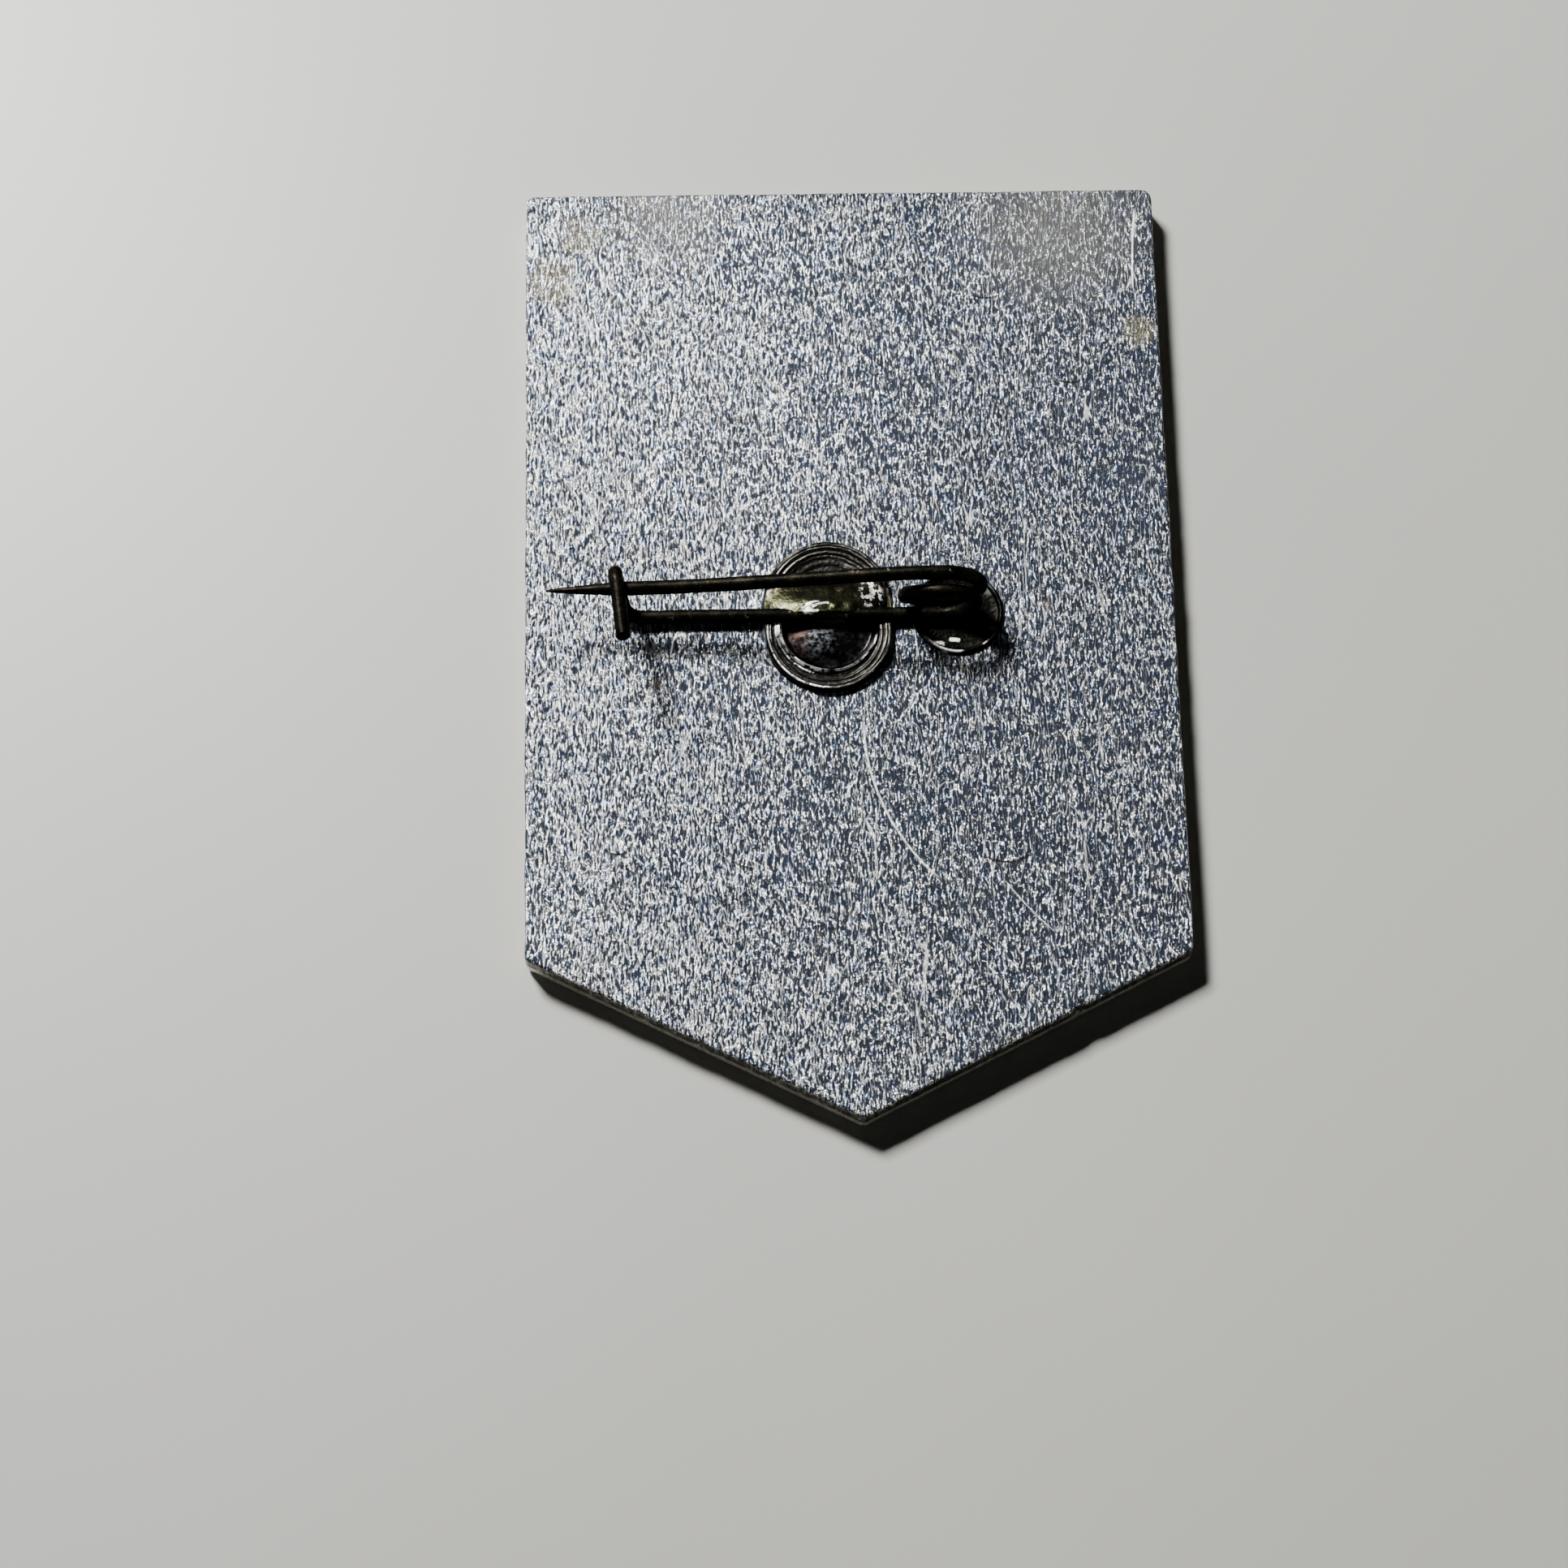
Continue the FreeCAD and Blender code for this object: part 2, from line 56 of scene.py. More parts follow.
def node_box(name):
    """Lowest and highest corner of a CAD node, in millimetres."""
    low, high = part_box(name)
    return np.array(low) / MM, np.array(high) / MM


# ---------------------------------------------------------------- places read from the frame

plate_high = node_box("badge_body")[1]
base_low, base_high = node_box("pin_base_wire")
needle_low = node_box("pin_needle")[0]

HALF_WIDTH = plate_high[0]
TOP = plate_high[1]
TIP = -TOP
SHOULDER = TIP + 8.1  # where the straight sides turn in towards the point
BACK = 1.8  # level of the plain back
WIRE_RADIUS = (base_high[2] - base_low[2]) / 2
WIRE_UP = (base_high[1] + base_low[1]) / 2
WIRE_LEVEL = (base_high[2] + base_low[2]) / 2
COIL_ACROSS = base_high[0]

CORNER_RADIUS = 0.45
SPLIT_LEVEL = 0.95  # height in the edge at which torn metal gives way to smooth struck metal
EDGE_ROUND = 0.12

# the clinch is a boss with round ends, stretched up and down from its middle, and its dish lies inside it
CLINCH = np.array([-1.1, WIRE_UP])
CLINCH_RADIUS = 3.2
CLINCH_STRETCH = 0.8
DISH_RADIUS = 2.42
DISH_STRETCH = 0.45
SEAT = np.array([COIL_ACROSS + 0.95, WIRE_UP + 0.2])

# materials of the back's faces, in the order of their slots
PLAIN, WORKED, DISH, TORN = range(4)


# ---------------------------------------------------------------- small tools

def lattice(ix, iy, seed):
    """Repeatable pseudo-random number from 0 to 1 for each pair of whole numbers."""
    h = np.sin(ix * 127.1 + iy * 311.7 + seed * 74.7) * 43758.5453
    return h - np.floor(h)


def noise(x, y, seed):
    """Smooth noise from -1 to 1 with cells one unit wide."""
    ix, iy = np.floor(x), np.floor(y)
    fx, fy = x - ix, y - iy
    fx, fy = fx * fx * (3 - 2 * fx), fy * fy * (3 - 2 * fy)
    low = lattice(ix, iy, seed) * (1 - fx) + lattice(ix + 1, iy, seed) * fx
    high = lattice(ix, iy + 1, seed) * (1 - fx) + lattice(ix + 1, iy + 1, seed) * fx
    return (low * (1 - fy) + high * fy) * 2 - 1


def ramp(start, end, x):
    """Smooth step from 0 at start to 1 at end."""
    t = np.clip((x - start) / (end - start), 0, 1)
    return t * t * (3 - 2 * t)


def add_mesh(name, points, faces, material, body, slot, sharp=38, replaces=()):
    """A finished piece from points in millimetres: smooth between sharp edges, riding on a CAD body."""
    mesh = bpy.data.meshes.new(name)
    mesh.from_pydata((np.asarray(points, float) * MM).tolist(), [], faces)
    mesh.materials.append(material)
    piece = bpy.data.objects.new(name, mesh)
    bpy.context.scene.collection.objects.link(piece)
    tidy = bmesh.new()
    tidy.from_mesh(mesh)
    bmesh.ops.remove_doubles(tidy, verts=tidy.verts, dist=2e-7)
    bmesh.ops.recalc_face_normals(tidy, faces=tidy.faces)
    tidy.to_mesh(mesh)
    tidy.free()
    mesh.shade_smooth()
    mesh.set_sharp_from_angle(angle=math.radians(sharp))
    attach(piece, body)
    if replaces:
        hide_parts(*replaces)
    return piece


def skin(rings):
    """Quads between rings of equal length, with both ends closed."""
    count = len(rings[0])
    points = np.concatenate(rings)
    faces = []
    for row in range(len(rings) - 1):
        a, b = row * count, (row + 1) * count
        for i in range(count):
            j = (i + 1) % count
            faces.append((a + i, a + j, b + j, b + i))
    for first, way in ((0, -1), ((len(rings) - 1) * count, 1)):
        middle = len(points)
        points = np.vstack([points, points[first:first + count].mean(0)])
        for i in range(count):
            j = (i + 1) % count
            faces.append((middle, first + i, first + j)[::way])
    return points, faces


def walk(corners, step):
    """Points along a route through corners, evenly spaced by about one step."""
    corners = np.asarray(corners, float)
    legs = np.linalg.norm(np.diff(corners, axis=0), axis=1)
    along = np.concatenate([[0], np.cumsum(legs)])
    wanted = np.linspace(0, along[-1], max(2, int(along[-1] / step) + 1))
    return np.stack([np.interp(wanted, along, corners[:, k]) for k in range(3)], 1)


def arc_from(start, direction, end, steps):
    """Arc that leaves start in a direction and reaches end, as points without the first."""
    start, direction, end = (np.asarray(v, float) for v in (start, direction, end))
    chord = end - start
    side = chord - direction * chord.dot(direction)
    side /= np.linalg.norm(side)
    radius = chord.dot(chord) / (2 * chord.dot(side))
    centre = start + side * radius
    turn = math.atan2((end - centre).dot(direction), -(end - centre).dot(side)) % (2 * math.pi)
    angles = np.linspace(0, turn, steps + 1)[1:]
    return centre + radius * (np.outer(np.sin(angles), direction) - np.outer(np.cos(angles), side))


def rounded(points, radii, steps=14):
    """Straight runs with a tangent arc at each inner corner."""
    points = [np.asarray(p, float) for p in points]
    path = [points[0]]
    for before, corner, after, radius in zip(points, points[1:], points[2:], radii):
        come, leave = corner - before, after - corner
        come, leave = come / np.linalg.norm(come), leave / np.linalg.norm(leave)
        setback = radius * math.tan(math.acos(np.clip(come.dot(leave), -1, 1)) / 2)
        first, last = corner - come * setback, corner + leave * setback
        path.append(first)
        path.extend(arc_from(first, come, last, steps))
    path.append(points[-1])
    return np.array(path)


def tube(path, radius, seed, sides=28):
    """Rings for skin() of a slightly worn wire along a path; radius is a number or one per point."""
    path = np.asarray(path, float)
    radius = np.broadcast_to(np.asarray(radius, float), len(path))
    tangents = np.gradient(path, axis=0)
    tangents /= np.linalg.norm(tangents, axis=1)[:, None]
    across = np.cross(tangents[0], [0.13, 0.94, 0.31])
    across /= np.linalg.norm(across)
    travel = np.concatenate([[0], np.cumsum(np.linalg.norm(np.diff(path, axis=0), axis=1))])
    angles = np.arange(sides) * 2 * math.pi / sides
    cosine, sine = np.cos(angles), np.sin(angles)
    rings = []
    for point, tangent, size, far in zip(path, tangents, radius, travel):
        across = across - tangent * across.dot(tangent)
        across /= np.linalg.norm(across)
        other = np.cross(tangent, across)
        wear = 1 + 0.012 * noise(cosine * 1.3 + far * 0.9, sine * 1.3 + far * 0.35, seed)
        wear += 0.006 * noise(cosine * 3.1 + far * 3.7, sine * 3.1 - far * 2.9, seed + 5)
        rings.append(point + np.outer(cosine * size * wear, across) + np.outer(sine * size * wear, other))
    return rings


# ---------------------------------------------------------------- materials

def material(name):
    """New node material: returns it with its node tree and its Principled shader."""
    made = bpy.data.materials.new(name)
    made.use_nodes = True
    return made, made.node_tree, made.node_tree.nodes["Principled BSDF"]


def add_node(tree, kind, **settings):
    """New node. Settings that name an input socket set its value; the others set the node itself."""
    node = tree.nodes.new(kind)
    for key, setting in settings.items():
        socket = key.replace("_", " ")
        names = {s.name.lower(): s for s in node.inputs}
        if socket in names:
            names[socket].default_value = setting
        else:
            setattr(node, key, setting)
    return node


def object_space(tree, scale=(1, 1, 1), turn=(0, 0, 0), place=(0, 0, 0)):
    """Object coordinates in millimetres, scaled and turned."""
    where = add_node(tree, "ShaderNodeTexCoord")
    mapping = add_node(tree, "ShaderNodeMapping")
    mapping.inputs["Scale"].default_value = tuple(s / MM for s in scale)
    mapping.inputs["Rotation"].default_value = turn
    mapping.inputs["Location"].default_value = place
    tree.links.new(where.outputs["Object"], mapping.inputs["Vector"])
    return mapping.outputs["Vector"]


def noise_texture(tree, vector, scale, detail=3.0, roughness=0.55, distortion=0.0):
    """Cloudy noise from 0 to 1, with scale cells to the millimetre."""
    node = add_node(tree, "ShaderNodeTexNoise", scale=scale, detail=detail, roughness=roughness,
                    distortion=distortion)
    tree.links.new(vector, node.inputs["Vector"])
    return node.outputs["Fac"]


def spread(tree, value, low, high, to_low=0.0, to_high=1.0, smooth=True):
    """Maps a value from one range to another, clamped."""
    node = add_node(tree, "ShaderNodeMapRange")
    node.interpolation_type = "SMOOTHSTEP" if smooth else "LINEAR"
    for socket, number in zip(("From Min", "From Max", "To Min", "To Max"), (low, high, to_low, to_high)):
        node.inputs[socket].default_value = number
    tree.links.new(value, node.inputs["Value"])
    return node.outputs["Result"]


def maths(tree, operation, first, second=None):
    """A sum on sockets or numbers."""
    node = add_node(tree, "ShaderNodeMath", operation=operation)
    for socket, given in zip(node.inputs, (first, second)):
        if given is None:
            continue
        if isinstance(given, (int, float)):
            socket.default_value = given
        else:
            tree.links.new(given, socket)
    return node.outputs[0]


def blend_colours(tree, share, first, second, kind="MIX"):
    """Second colour blended over the first by a share; each is a socket, a colour or a number."""
    node = add_node(tree, "ShaderNodeMix")
    node.data_type, node.blend_type = "RGBA", kind
    sockets = [s for s in node.inputs if s.enabled]
    for socket, given in zip(sockets, (share, first, second)):
        if isinstance(given, bpy.types.NodeSocket):
            tree.links.new(given, socket)
        elif isinstance(given, tuple):
            socket.default_value = (*given, 1)
        else:
            socket.default_value = given
    return [s for s in node.outputs if s.enabled][0]


def colour_steps(tree, value, steps):
    """Colour ramp: steps are (position, colour)."""
    node = add_node(tree, "ShaderNodeValToRGB")
    elements = node.color_ramp.elements
    while len(elements) < len(steps):
        elements.new(0.5)
    for element, (position, colour) in zip(elements, steps):
        element.position, element.color = position, (*colour, 1)
    tree.links.new(value, node.inputs["Fac"])
    return node.outputs["Color"]


def bump(tree, height, distance, strength=1.0, normal=None):
    """Normal of a surface raised by a height of 0 to 1 times a distance, over an earlier normal if given."""
    node = add_node(tree, "ShaderNodeBump", strength=strength, distance=distance)
    tree.links.new(height, node.inputs["Height"])
    if normal is not None:
        tree.links.new(normal, node.inputs["Normal"])
    return node.outputs["Normal"]


def axis_of(tree, vector, axis):
    """One axis of a vector."""
    node = add_node(tree, "ShaderNodeSeparateXYZ")
    tree.links.new(vector, node.inputs[0])
    return node.outputs[axis]


def away_from(tree, centre):
    """Distance in millimetres, seen from above, from a place on the badge."""
    away = add_node(tree, "ShaderNodeVectorMath", operation="DISTANCE")
    tree.links.new(object_space(tree, (1, 1, 0)), away.inputs[0])
    away.inputs[1].default_value = (centre[0], centre[1], 0)
    return away.outputs["Value"]


def spot(tree, centre, radius, soft=0.6):
    """Soft round mask, 1 in the middle, round a place on the back of the badge."""
    return spread(tree, away_from(tree, centre), radius * (1 - soft), radius, 1, 0)


def scratch(tree, middle, radius, towards, half_angle, width):
    """Mask of one curved scratch: an arc round a middle, half_angle degrees to each side of towards."""
    ring = maths(tree, "ABSOLUTE", maths(tree, "SUBTRACT", away_from(tree, middle), float(radius)))
    line = spread(tree, ring, width * 0.35, width, 1, 0)
    aim = (middle[0] + radius * math.cos(math.radians(towards)),
           middle[1] + radius * math.sin(math.radians(towards)))
    chord = 2 * radius * math.sin(math.radians(half_angle) / 2)
    return maths(tree, "MULTIPLY", line, spread(tree, away_from(tree, aim), chord * 0.8, chord, 1, 0))


def stripes(tree, centre, steps, wander):
    """Rings of warm grey round a place, which a noise makes wander: steps are (distance, grey)."""
    farthest, sway = 4.0, 0.34
    far = maths(tree, "ADD", away_from(tree, centre), maths(tree, "MULTIPLY", wander, sway))
    return colour_steps(tree, maths(tree, "DIVIDE", maths(tree, "SUBTRACT", far, sway / 2), farthest),
                        [(distance / farthest, (grey, grey * 0.98, grey * 0.88)) for distance, grey in steps])


def total(tree, masks):
    """Masks laid over each other."""
    result = masks[0]
    for mask in masks[1:]:
        result = maths(tree, "MAXIMUM", result, mask)
    return result


def spots(tree, places):
    """Spots laid over each other: places are (centre, radius) or (centre, radius, softness)."""
    return total(tree, [spot(tree, *place) for place in places])


def scratches(tree, marks):
    """Scratches laid over each other: marks are (middle, radius, towards, half_angle, width)."""
    return total(tree, [scratch(tree, *mark) for mark in marks])


def weighted(tree, shares, start=0.0):
    """Sum of a starting number and of values times their weights."""
    for value, weight in shares:
        start = maths(tree, "ADD", maths(tree, "MULTIPLY", value, weight), start)
    return start


def hairlines(tree, vector, scale, width):
    """Thin wandering lines: the places where a stretched noise passes through its middle value."""
    level = maths(tree, "ABSOLUTE", maths(tree, "SUBTRACT", noise_texture(tree, vector, scale, 1, 0.4), 0.5))
    return spread(tree, level, 0, width, 1, 0)


def plate_aluminium():
    """Scratched aluminium of the plain back: upright brushing, grains, oxide, stains and scratches."""
    made, tree, shader = material("plate_aluminium")
    plain = object_space(tree)
    flow = object_space(tree, (1, 0.30, 1), (0, 0, math.radians(-10)))
    flow_far = object_space(tree, (1, 0.22, 1), (0, 0, math.radians(24)), (3.1, 7.7, 0))
    hair = object_space(tree, (1, 0.11, 1), (0, 0, math.radians(-14)), (11.3, 2.9, 0))
    hair_over = object_space(tree, (1, 0.14, 1), (0, 0, math.radians(22)), (1.3, 8.9, 0))

    grain = noise_texture(tree, flow, 12.5, 3, 0.66)
    streak = noise_texture(tree, flow_far, 9.5, 2, 0.55)
    speck = noise_texture(tree, plain, 15.0, 2, 0.6)
    blotch = noise_texture(tree, plain, 0.21, 4, 0.62, 0.7)
    patch = noise_texture(tree, object_space(tree, place=(4, 1, 6)), 0.07, 3, 0.5)
    mix = [(grain, 0.72), (streak, 0.44), (speck, 0.34)]
    relief = weighted(tree, mix)

    # brightness: contrast sharper towards the badge's point
    level, relief_share, blotch_share = 0.592, 0.86, 0.085
    average = 0.5 * (sum(weight for _, weight in mix) * relief_share + blotch_share)
    shade = weighted(tree, [(relief, relief_share), (blotch, blotch_share)], -average)
    contrast = spread(tree, axis_of(tree, plain, 1), -16, 14, 3.6, 2.3, smooth=False)
    shade = maths(tree, "MULTIPLY", shade, contrast)
    # painted shade darkens the metal to the right and below, and painted light brightens the top left and
    # beside the clinch
    shade = weighted(tree, [(shade, 1.0), (axis_of(tree, plain, 0), -0.0026),
                            (spot(tree, (5.0, -11.0), 19.0, 1.0), -0.080),
                            (spot(tree, (-11.0, -10.0), 10.0, 1.0), -0.022),
                            (spot(tree, (10.0, 4.0), 15.0, 1.0), -0.026),
                            (spot(tree, (-3.0, 6.5), 6.0, 1.0), 0.012),
                            (spot(tree, (-10.0, 18.0), 15.0, 1.0), 0.034)], level)
    colour = colour_steps(tree, shade, [(0.575, (0.009, 0.013, 0.022)), (0.665, (0.100, 0.113, 0.138)),
                                        (0.760, (0.96, 0.97, 0.98))])

    # tints and dull places
    blue = spread(tree, noise_texture(tree, plain, 1.9, 4, 0.75), 0.48, 0.60)
    colour = blend_colours(tree, maths(tree, "MULTIPLY", blue, 0.75), colour, (0.66, 0.82, 1.16), "MULTIPLY")
    olive = noise_texture(tree, object_space(tree, place=(9, 4, 2)), 2.6, 3, 0.7)
    olive = maths(tree, "MULTIPLY", spread(tree, olive, 0.52, 0.66), 0.5)
    colour = blend_colours(tree, olive, colour, (0.98, 0.94, 0.66), "MULTIPLY")
    dull = spots(tree, [((11.0, 22.5), 6.5, 0.9), ((-9.0, 23.5), 4.5, 0.9)])
    colour = blend_colours(tree, maths(tree, "MULTIPLY", dull, 0.55), colour, (0.105, 0.105, 0.095))
    stains = spots(tree, [((-14.6, 19.6), 1.7), ((15.0, 16.5), 1.1), ((-13.2, 22.2), 1.5)])
    stains = maths(tree, "MULTIPLY", stains, spread(tree, speck, 0.42, 0.62))
    colour = blend_colours(tree, maths(tree, "MULTIPLY", stains, 0.7), colour, (0.25, 0.22, 0.10))
    rust = spots(tree, [((-9.3, -2.5), 1.1, 0.9), ((9.7, 1.5), 0.7, 0.9), ((-10.3, 4.6), 0.8, 0.9)])
    rust = maths(tree, "MULTIPLY", rust, spread(tree, noise_texture(tree, plain, 2.2, 3), 0.46, 0.60))
    colour = blend_colours(tree, maths(tree, "MULTIPLY", rust, 0.8), colour, (0.060, 0.045, 0.036))

    # bright scratches and dark cuts
    faint = scratch(tree, (21.0, -3.0), 17.0, 221, 6, 0.05)
    long_marks = total(tree, [
        scratches(tree, [((11.6, -4.6), 11.1, 203, 24, 0.075), ((-28.0, 12.0), 16.0, 22, 5, 0.07),
                         ((60.0, 18.0), 45.2, 176, 3.0, 0.07)]),
        maths(tree, "MULTIPLY", faint, 0.5),
        maths(tree, "MULTIPLY", hairlines(tree, hair, 1.3, 0.006), 0.62),
        maths(tree, "MULTIPLY", hairlines(tree, hair_over, 1.0, 0.004), 0.45),
    ])
    cuts = scratches(tree, [
        ((-11.55, -10.35), 0.85, 265, 46, 0.07),
        ((7.25, -9.9), 1.95, 272, 32, 0.06),
        ((11.4, 14.9), 1.3, 262, 34, 0.05),
        ((7.3, 19.9), 1.5, 270, 30, 0.05),
        ((27.0, -30.0), 18.2, 125, 4, 0.05),
        ((-4.9, -10.4), 1.6, 250, 20, 0.05),
    ])
    colour = blend_colours(tree, maths(tree, "MULTIPLY", long_marks, 0.85), colour, (0.97, 0.97, 0.97))
    colour = blend_colours(tree, maths(tree, "MULTIPLY", cuts, 0.92), colour, (0.010, 0.011, 0.014))

    strong = spread(tree, blotch, 0.35, 0.62, 0.75, 1.05)
    normal = bump(tree, maths(tree, "MULTIPLY", relief, strong), 0.09 * MM, 1.0)
    normal = bump(tree, weighted(tree, [(long_marks, 0.5), (cuts, -1.0)]), 0.05 * MM, 1.0, normal)
    tree.links.new(colour, shader.inputs["Base Color"])
    tree.links.new(spread(tree, weighted(tree, [(shade, 0.7), (patch, 0.3)]), 0.54, 0.72, 0.42, 0.20),
                   shader.inputs["Roughness"])
    tree.links.new(normal, shader.inputs["Normal"])
    shader.inputs["Metallic"].default_value = 0.8
    return made


def clinch_metal():
    """Pressed metal of the clinch: flap painted olive as a reflection, painted highlights on the lips and the
    flap, and light and dark terraces in rings.
    """
    made, tree, shader = material("clinch_aluminium")
    plain = object_space(tree)
    fine = noise_texture(tree, plain, 6.5, 3, 0.62)
    wander = noise_texture(tree, plain, 1.1, 3, 0.6)
    broken = noise_texture(tree, plain, 3.2, 3, 0.65)
    north, south = CLINCH + (0, CLINCH_STRETCH), CLINCH - (0, CLINCH_STRETCH)
    # the outermost near-black rings of both halves paint shade on the boss's outer wall and at its foot
    upper = stripes(tree, north, [
        (2.16, 0.05), (2.26, 0.30), (2.34, 0.02), (2.44, 0.24), (2.52, 0.03), (2.62, 0.27), (2.72, 0.17),
        (2.78, 0.015), (2.86, 0.25), (2.98, 0.16), (3.05, 0.014), (3.20, 0.008)], wander)
    lower = stripes(tree, south, [
        (2.10, 0.020), (2.38, 0.014), (2.50, 0.085), (2.60, 0.12), (2.66, 0.010), (2.76, 0.12), (2.88, 0.14),
        (2.93, 0.008), (3.01, 0.16), (3.08, 0.006)], wander)
    up = axis_of(tree, plain, 1)
    colour = blend_colours(tree, spread(tree, up, CLINCH[1] - 0.6, CLINCH[1] + 0.2), lower, upper)

    # the flap folded over the wire, painted olive as a reflection of the room
    flap = maths(tree, "MULTIPLY", spread(tree, up, CLINCH[1] - 0.55, CLINCH[1] - 0.35),
                 spread(tree, up, CLINCH[1] + 1.75, CLINCH[1] + 1.45))
    flap = maths(tree, "MULTIPLY", flap, spread(tree, away_from(tree, CLINCH), 3.3, 3.1))
    olive = colour_steps(tree, wander, [(0.36, (0.028, 0.029, 0.017)), (0.54, (0.066, 0.066, 0.034)),
                                        (0.70, (0.105, 0.105, 0.064))])
    colour = blend_colours(tree, flap, colour, olive)
    cloud = colour_steps(tree, fine, [(0.30, (0.45, 0.45, 0.45)), (0.60, (1.0, 1.0, 1.0)),
                                      (0.75, (1.9, 1.9, 1.9))])
    colour = blend_colours(tree, 1.0, colour, cloud, "MULTIPLY")

    # painted highlights on the lips of the dish and the terraces, and painted glints on the crumpled ends of
    # the flap
    dish = CLINCH - (0, DISH_STRETCH)
    lips = scratches(tree, [
        (dish, DISH_RADIUS, 216, 58, 0.16),
        (dish, DISH_RADIUS, 312, 40, 0.10),
        (dish, DISH_RADIUS + 0.20, 212, 44, 0.06),
        (south, 2.99, 222, 52, 0.06),
        (south, CLINCH_RADIUS, 186, 22, 0.07),
    ])
    crumple = noise_texture(tree, object_space(tree, (1, 0.6, 1), (0, 0, 0.5)), 4.2, 2, 0.5)
    crumpled = maths(tree, "MULTIPLY", spot(tree, (0.98, 2.0), 0.85, 0.4), spread(tree, crumple, 0.46, 0.52))
    glints = scratches(tree, [
        ((-1.44, 0.08), 1.5, 112, 20, 0.09),
        ((-1.11, -0.03), 1.5, 105, 18, 0.08),
        ((-2.1, 4.2), 3.2, 272, 8, 0.10),
        ((-2.1, 4.2), 3.42, 268, 6, 0.06),
    ])
    bright = total(tree, [lips, glints, crumpled, spot(tree, (-2.1, 0.98), 0.30, 0.6)])
    bright = maths(tree, "MULTIPLY", bright, spread(tree, broken, 0.36, 0.50))
    colour = blend_colours(tree, bright, colour, (1.0, 1.0, 0.98))
    tree.links.new(colour, shader.inputs["Base Color"])
    tree.links.new(spread(tree, bright, 0, 1, 0.30, 0.55), shader.inputs["Roughness"])
    tree.links.new(bump(tree, fine, 0.03 * MM, 0.9), shader.inputs["Normal"])
    shader.inputs["Metallic"].default_value = 1.0
    return made


def seat_metal():
    """Near-black painted shade under the coil, grey at its north-east tip, with painted highlights on the
    south edge and reflections of the turns.
    """
    made, tree, shader = material("seat_aluminium")
    plain = object_space(tree)
    fine = noise_texture(tree, plain, 6.5, 3, 0.62)
    broken = noise_texture(tree, plain, 3.2, 3, 0.65)
    # near-black base: painted shade of the coil
    colour = colour_steps(tree, fine, [(0.34, (0.003, 0.003, 0.003)), (0.58, (0.008, 0.008, 0.006)),
                                       (0.78, (0.035, 0.035, 0.030))])
    cone = maths(tree, "MULTIPLY", spot(tree, (6.75, 2.75), 0.8, 0.8), 0.8)
    colour = blend_colours(tree, cone, colour, (0.13, 0.135, 0.14))
    # painted highlights on the south edge and painted reflections of the turns on the floor
    bright = scratches(tree, [
        (SEAT, 2.12, 245, 32, 0.10),
        (SEAT, 2.13, 318, 16, 0.06),
        ((4.3, -2.4), 1.95, 90, 10, 0.16),
        ((4.9, -2.1), 1.85, 84, 9, 0.13),
        ((4.55, 0.2), 1.15, 262, 20, 0.10),
    ])
    bright = maths(tree, "MULTIPLY", bright, spread(tree, broken, 0.36, 0.52))
    colour = blend_colours(tree, bright, colour, (1.0, 1.0, 0.98))
    tree.links.new(colour, shader.inputs["Base Color"])
    tree.links.new(spread(tree, bright, 0, 1, 0.34, 0.55), shader.inputs["Roughness"])
    tree.links.new(bump(tree, fine, 0.03 * MM, 0.9), shader.inputs["Normal"])
    shader.inputs["Metallic"].default_value = 1.0
    return made


def edge_metal():
    """Torn upper part of the edge: dark brown-grey rough metal with upright tear lines."""
    made, tree, shader = material("edge_metal")
    plain = object_space(tree)
    tears = noise_texture(tree, object_space(tree, (3.0, 3.0, 0.8)), 1.6, 4, 0.65)
    colour = colour_steps(tree, tears, [(0.34, (0.010, 0.009, 0.008)), (0.50, (0.050, 0.046, 0.038)),
                                        (0.68, (0.30, 0.29, 0.25))])
    tree.links.new(colour, shader.inputs["Base Color"])
    rough = spread(tree, noise_texture(tree, plain, 3.0, 2), 0.3, 0.7, 0.3, 0.5)
    tree.links.new(rough, shader.inputs["Roughness"])
    tree.links.new(bump(tree, tears, 0.08 * MM, 1.0), shader.inputs["Normal"])
    shader.inputs["Metallic"].default_value = 1.0
    return made


def struck_metal():
    """Smooth struck metal of the front: satin, faintly clouded and warm, with fine wandering scratches."""
    made, tree, shader = material("struck_aluminium")
    plain = object_space(tree)
    cloud = noise_texture(tree, plain, 0.6, 4, 0.6)
    fine = noise_texture(tree, object_space(tree, (1, 0.2, 1), (0, 0, 0.6)), 6.0, 3, 0.6)
    colour = colour_steps(tree, cloud, [(0.30, (0.44, 0.43, 0.35)), (0.70, (0.70, 0.69, 0.60))])
    lines = hairlines(tree, object_space(tree, (1, 0.08, 1), (0, 0, 1.1)), 1.2, 0.01)
    colour = blend_colours(tree, maths(tree, "MULTIPLY", lines, 0.5), colour, (0.85, 0.85, 0.82))
    tree.links.new(colour, shader.inputs["Base Color"])
    tree.links.new(spread(tree, fine, 0.3, 0.7, 0.22, 0.42), shader.inputs["Roughness"])
    tree.links.new(bump(tree, fine, 0.015 * MM, 0.8), shader.inputs["Normal"])
    shader.inputs["Metallic"].default_value = 0.6
    return made


